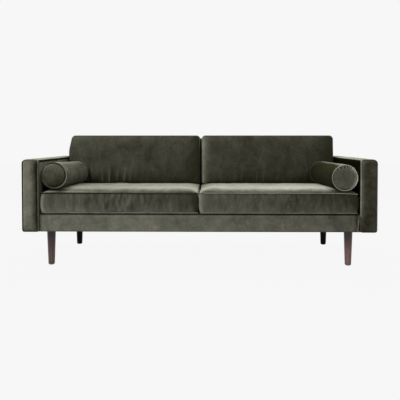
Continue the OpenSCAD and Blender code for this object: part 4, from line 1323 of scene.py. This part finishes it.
def add_back_cushion(context, name, side, shape, crown, moved):
    """One back cushion, with gathers that rise from its lower seam."""
    c, look, height = context.scene.sofa_cushions, BACK_LOOKS[name], shape.depth
    rng = draws("back_cushion", side)
    waves, phases = rng.uniform(0.030, 0.056, 6), rng.uniform(0, TURN, 6)

    def folds(x, y):
        """Upright gathers: sine waves of three to six centimetres that fan out upwards."""
        fanned = (x - look.middle) * (1 - 0.8 * y) + look.middle
        return np.sin(TURN * fanned[..., None] / waves + phases).sum(-1) / 2

    def strip(way, t, z):
        """Small puckers along the boxing."""
        small = ripple(rng, way, 0.025, 0.06, 2 * (SEAT_W + height))
        return BOXING_PUCKER * small * np.sin(math.pi * t) ** 0.5

    def front(u, v):
        """Crown with slow waves, and upright gathers that rise from the lower seam."""
        x, y = u * SEAT_W / 2, (1 + v) / 2 * height
        bunch = 0.25 + near(x, look.middle, look.spread)
        gathered = GATHER * folds(x, y) * bunch * near(y, 0, GATHER_HEIGHT)
        return crown(u, v) + FILLING_WAVE * mottle(rng, x, y, 0.09, 0.35) + gathered

    def cord(x, y, z):
        """Painted light at the top, painted shade at the bottom, and painted light on the side that turns to
        the light.
        """
        rise = 1.3 * np.clip(y / height, 0, 1) - 0.8 + 0.6 * climb(y / height, 0.90, 0.05)
        lit = look.cord * (x < -0.97 * shape.half)
        return np.where(z < shape.thick / 2, 0.3, rise + lit * climb(y, 0.02, 0.03))

    points = shape.points(high=front, strip=strip) + moved * BACK_WRINKLES
    points = pressed(points, shape, c.touch)
    x, y, z = np.moveaxis(points, -1, 0)
    # Painted light on the crests of the gathers.
    streaks = (np.clip(folds(x, y), 0, 2) ** 2 - 0.4) * near(y, 0, GATHER_HEIGHT)
    # Painted shade to the right, at the foot and at the right edge, painted light along the top, and a
    # painted highlight at the left edge.
    nap = look.front - 0.05 * x / shape.half - 0.20 * fade(y, 0.035)
    nap += look.streaks * streaks * near(x, look.middle, look.spread)
    nap += 0.16 * fade(height - y, 0.020) - 0.35 * fade(shape.half - x, 0.040)
    nap += look.start * fade(x + shape.half, 0.020)
    # Painted shade on the boxing, deeper towards the front, except near the top.
    turned = np.clip(2 * z / shape.thick - 1, 0, 1) * (y < height - 0.012)
    nap = np.where(z < shape.thick - c.groove - 0.001, 0.15 - 0.55 * turned, nap)
    place = back_place(context, side, shape.half)
    looks = ("velvet_back", "velvet_piping")
    add_cushion(context, "back_cushion", name, shape, points, place, looks, (nap, cord, 1.2))


def gathers(side_x, height):
    """Small uneven waves round the top of a disc's rim."""
    reach = climb(np.hypot(side_x, height), 0.6, 0.3)
    turned = np.arctan2(height, side_x)
    uneven = 0.65 + 0.35 * np.sin(9 * turned + 1)
    return uneven * np.sin(25 * turned + 2 * np.sin(5 * turned)) * reach * near(height, 0.85, 0.35)


def bolster_painted_light(side, long, side_x, height, z):
    """Pile and painted light of a bolster's tube, with a painted highlight along its crest, and of its discs,
    with a painted highlight at one side's rim and painted shade inside the left one's piping.
    """
    reach = np.hypot(side_x, height)
    right = np.clip(side_x, 0, 1)
    if side < 0:
        tube_painted_light = 0.32 - 0.38 * height + 0.25 * near(z, 0.035, 0.03) * np.clip(height, 0, 1)
        tube_painted_light += 0.35 * near(z, long, 0.05) + 0.42 * near(height, 1, 0.14)
        disc_painted_light = 0.23 + 0.33 * height - 0.10 * side_x
        disc_painted_light += 1.1 * near(reach, 0.90, 0.05) * np.clip(0.3 * height - side_x, 0, 1)
        disc_painted_light -= 0.8 * climb(reach, 0.84, 0.06) * np.clip(0.6 + 2 * side_x, 0, 1)
    else:
        tube_painted_light = 0.90 * fade(z, 0.12) * np.clip(height, 0, 1) ** 2 - 0.48 + 0.5 * np.clip(2 * side_x, 0, 1)
        tube_painted_light += 0.9 * near(height, 1, 0.07)
        disc_painted_light = 0.56 + 0.04 * height + 3.6 * near(reach, 0.88, 0.11) * right**2
        # Painted light and shade on the gathers.
        disc_painted_light += 1.6 * gathers(side_x, height)
    disc = np.clip(1.5 * (near(z, 0, 0.006) + near(z, long, 0.006)), 0, 1)
    return between(tube_painted_light, disc_painted_light, disc)


def add_bolsters(context):
    """The bolsters' shape and the swell of their discs, and both bolsters."""
    c = context.scene.sofa_cushions
    shape = Boxed(
        BOLSTER_D, BOLSTER_D, BOLSTER_L, (BOLSTER_D / 2,) * 4, (0, 0, 0), c.groove, c.cell,
        run=0.006, belly=0.04, inset=c.disc_swell,
    )

    def disc(u, v):
        """Swell of an end disc, falling off with the square of the distance from its middle."""
        return c.disc_swell * (1 - np.clip(u * u + v * v, 0, 1))

    add_pair(context, add_bolster, shape, high=disc, low=disc)


def add_bolster(context, name, side, shape, disc, moved):
    """One bolster, with puckers beside its piping and gathers at the top of its front disc."""
    rng = draws("bolster", side)
    loop = math.pi * BOLSTER_D
    front, turn, dip = bolster_line(context.scene.sofa_cushions, name, side)
    sine, cosine = math.sin(turn), math.cos(turn)

    def strip(way, t, z):
        """Short puckers beside the piping and slow waves along the tube."""
        short = ripple(rng, way, 0.018, 0.035, loop) * (fade(z, 0.035) + fade(shape.thick - z, 0.035))
        slow = ripple(rng, way, 0.08, 0.25, loop) * np.cos(TURN * t * 1.3 + side)
        return TUBE_PUCKER * short + TUBE_WAVE * slow

    def puckered(u, v):
        """Disc with small gathers at the top of its rim."""
        return disc(u, v) + DISC_GATHER * gathers(u, -v)

    def place(p):
        """Lays the tube along Y, its middle line through the front disc's centre, turns it and dips it."""
        x, y, z = p[..., 0], p[..., 1] - shape.half, p[..., 2]
        return np.stack([
            front[0] + x * cosine - z * sine,
            front[1] + x * sine + z * cosine,
            front[2] - y - dip * z / shape.thick,
        ], -1)

    def cord(x, y, z):
        """Painted light, brightest at the right of each front disc, painted shade at the left one's top, and
        dim on the rear discs.
        """
        side_x, height = x / shape.half, 1 - y / shape.half
        if side < 0:
            nap = 1.5 * np.clip(side_x, -0.5, 1) + 0.9 * np.clip(-height, 0, 1) ** 2 - 0.5
            nap += 1.5 * np.clip(-side_x, 0, 1)
        else:
            nap = 1.3 + 0.4 * side_x + 1.6 * np.clip(side_x, 0, 1) ** 2
        return np.where(z < shape.thick / 2, nap, 0.1)

    points = shape.points(high=disc, low=puckered, strip=strip) + moved * BOLSTER_WRINKLES
    x, y, z = np.moveaxis(points, -1, 0)
    nap = bolster_painted_light(side, shape.thick, x / shape.half, 1 - y / shape.half, z)
    looks = f"velvet_bolster_{name}", "velvet_piping" if side < 0 else "velvet_bright_piping"
    add_cushion(context, "bolster", name, shape, points, place, looks, (nap, cord, 0.0))


# Studio


def seen(f):
    """One where the camera, or a mirror or glass, sees the surface, and nought where it lights the sofa."""
    camera = f.node("ShaderNodeLightPath", output="Is Camera Ray")
    direct = camera.math("MAXIMUM", camera, camera.other("Is Glossy Ray"))
    return camera.math("MAXIMUM", direct, camera.other("Is Transmission Ray"))


def add_floor(stage, grey=0.35, clear=0.985):
    """A wide flat floor that looks like the backdrop, and keeps a trace of the sofa's shadow."""
    material = bpy.data.materials.new("studio_floor")
    f = Finish(material)
    plain = f.node("ShaderNodeBsdfDiffuse", {}, {"Color": (grey, grey, grey, 1)})
    bright = f.node("ShaderNodeEmission", {}, {"Color": rgba(stage.backdrop), "Strength": 1.0})
    f.end("Material", f.node("ShaderNodeMixShader", {}, {0: seen(f) * clear, 1: plain, 2: bright}))
    corners = [(x * FLOOR_REACH, y * FLOOR_REACH, 0) for x, y in ((-1, -1), (1, -1), (1, 1), (-1, 1))]
    mesh = meshed("floor", corners, [(0, 1, 2, 3)])
    mesh.materials.append(material)
    floor = linked("floor", mesh)


def add_world(context, stage):
    """A dim white light from all round, behind a backdrop that the camera sees."""
    context.scene.world = bpy.data.worlds.new("studio")
    f = Finish(context.scene.world)
    dim = f.node("ShaderNodeBackground", {}, {"Color": (1, 1, 1, 1), "Strength": stage.sky})
    bright = f.node("ShaderNodeBackground", {}, {"Color": rgba(stage.backdrop), "Strength": 1.0})
    f.end("World", f.node("ShaderNodeMixShader", {}, {0: seen(f), 1: dim, 2: bright}))


def add_lamp(name, place, size, watts):
    """A round lamp that faces the sofa."""
    light = bpy.data.lights.new(name, "AREA")
    light.shape = "DISK"
    light.size = size
    light.energy = watts
    lamp = linked(name, light)
    lamp.location = place
    lamp.rotation_euler = (Vector(LAMP_TARGET) - Vector(place)).to_track_quat("-Z", "Y").to_euler()


def add_camera(context):
    """The photograph's camera."""
    lens = bpy.data.cameras.new("camera")
    lens.sensor_width = CAMERA_SENSOR
    lens.lens = CAMERA_LENS
    lens.shift_x, lens.shift_y = CAMERA_SHIFT
    camera = linked("camera", lens)
    camera.location = CAMERA_PLACE
    camera.rotation_euler = (math.pi / 2 - CAMERA_DOWN, 0, CAMERA_TURN)
    context.scene.camera = camera


# Operators, one for each piece or group of like pieces


class SOFA_OT_arms(bpy.types.Operator):
    """Adds the two upholstered arms, each with piping round its front panel"""

    bl_idname = "sofa.arms"
    bl_label = "Arms"

    def execute(self, context):
        for name, side in SIDES.items():
            add_arm(context, name, side)
        return {"FINISHED"}


class SOFA_OT_back(bpy.types.Operator):
    """Adds the upholstered back and the webbing inside it"""

    bl_idname = "sofa.back"
    bl_label = "Back"

    def execute(self, context):
        add_back(context.scene.sofa_body)
        add_webbing(context.scene.sofa_body)
        return {"FINISHED"}


class SOFA_OT_rail(bpy.types.Operator):
    """Adds the upholstered front rail, with the creases that the cover has at both its ends"""

    bl_idname = "sofa.rail"
    bl_label = "Front rail"

    def execute(self, context):
        add_rail(context.scene.sofa_body)
        return {"FINISHED"}


class SOFA_OT_deck(bpy.types.Operator):
    """Adds the padded deck over the springs and the dust cover under the frame"""

    bl_idname = "sofa.deck"
    bl_label = "Deck and dust cover"

    def execute(self, context):
        add_deck(context.scene.sofa_body)
        add_dust_cover()
        return {"FINISHED"}


class SOFA_OT_seat_cushions(bpy.types.Operator):
    """Adds the two seat cushions with their piping"""

    bl_idname = "sofa.seat_cushions"
    bl_label = "Seat cushions"

    def execute(self, context):
        add_seats(context)
        return {"FINISHED"}


class SOFA_OT_back_cushions(bpy.types.Operator):
    """Adds the two back cushions with their piping"""

    bl_idname = "sofa.back_cushions"
    bl_label = "Back cushions"

    def execute(self, context):
        add_backs(context)
        return {"FINISHED"}


class SOFA_OT_bolsters(bpy.types.Operator):
    """Adds the two bolsters with their piping"""

    bl_idname = "sofa.bolsters"
    bl_label = "Bolsters"

    def execute(self, context):
        add_bolsters(context)
        return {"FINISHED"}


class SOFA_OT_carried(bpy.types.Operator):
    """Gives the legs, the timber, the springs, the fastenings and the zips their finishes"""

    bl_idname = "sofa.carried"
    bl_label = "Legs and hidden frame"

    def execute(self, context):
        for name, nodes in WEARERS.items():
            for node in nodes:
                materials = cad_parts[node].data.materials
                materials.clear()
                materials.append(finish(name))
        return {"FINISHED"}


class SOFA_OT_stage(bpy.types.Operator):
    """Adds the floor, the backdrop, the lights and the camera"""

    bl_idname = "sofa.stage"
    bl_label = "Studio"

    def execute(self, context):
        stage = context.scene.sofa_stage
        add_floor(stage)
        add_world(context, stage)
        for name, (place, size) in LAMPS.items():
            add_lamp(name, place, size, getattr(stage, name))
        add_camera(context)
        context.scene.view_settings.view_transform = "Standard"
        return {"FINISHED"}


OPERATORS = (
    SOFA_OT_arms,
    SOFA_OT_back,
    SOFA_OT_rail,
    SOFA_OT_deck,
    SOFA_OT_seat_cushions,
    SOFA_OT_back_cushions,
    SOFA_OT_bolsters,
    SOFA_OT_carried,
    SOFA_OT_stage,
)
GROUPS = {
    "sofa_body": SofaBody,
    "sofa_cushions": SofaCushions,
    "sofa_colours": SofaColours,
    "sofa_stage": SofaStage,
}


class VIEW3D_PT_sofa(bpy.types.Panel):
    """Lists the sofa's pieces and their sizes"""

    bl_label = "Sofa"
    bl_idname = "VIEW3D_PT_sofa"
    bl_space_type = "VIEW_3D"
    bl_region_type = "UI"
    bl_category = "Sofa"

    def draw(self, context):
        for operator in OPERATORS:
            self.layout.operator(operator.bl_idname)
        for key in GROUPS:
            box = self.layout.box()
            group = getattr(context.scene, key)
            for name in group.__annotations__:
                box.prop(group, name)


def register():
    for group in GROUPS.values():
        bpy.utils.register_class(group)
    for key, group in GROUPS.items():
        setattr(bpy.types.Scene, key, PointerProperty(type=group))
    for operator in OPERATORS:
        bpy.utils.register_class(operator)
    bpy.utils.register_class(VIEW3D_PT_sofa)


def unregister():
    bpy.utils.unregister_class(VIEW3D_PT_sofa)
    for operator in reversed(OPERATORS):
        bpy.utils.unregister_class(operator)
    for key in GROUPS:
        delattr(bpy.types.Scene, key)
    for group in reversed(GROUPS.values()):
        bpy.utils.unregister_class(group)


def main():
    register()
    for operator in OPERATORS:
        area, name = operator.bl_idname.split(".")
        getattr(getattr(bpy.ops, area), name)()


if __name__ == "__main__":
    main()
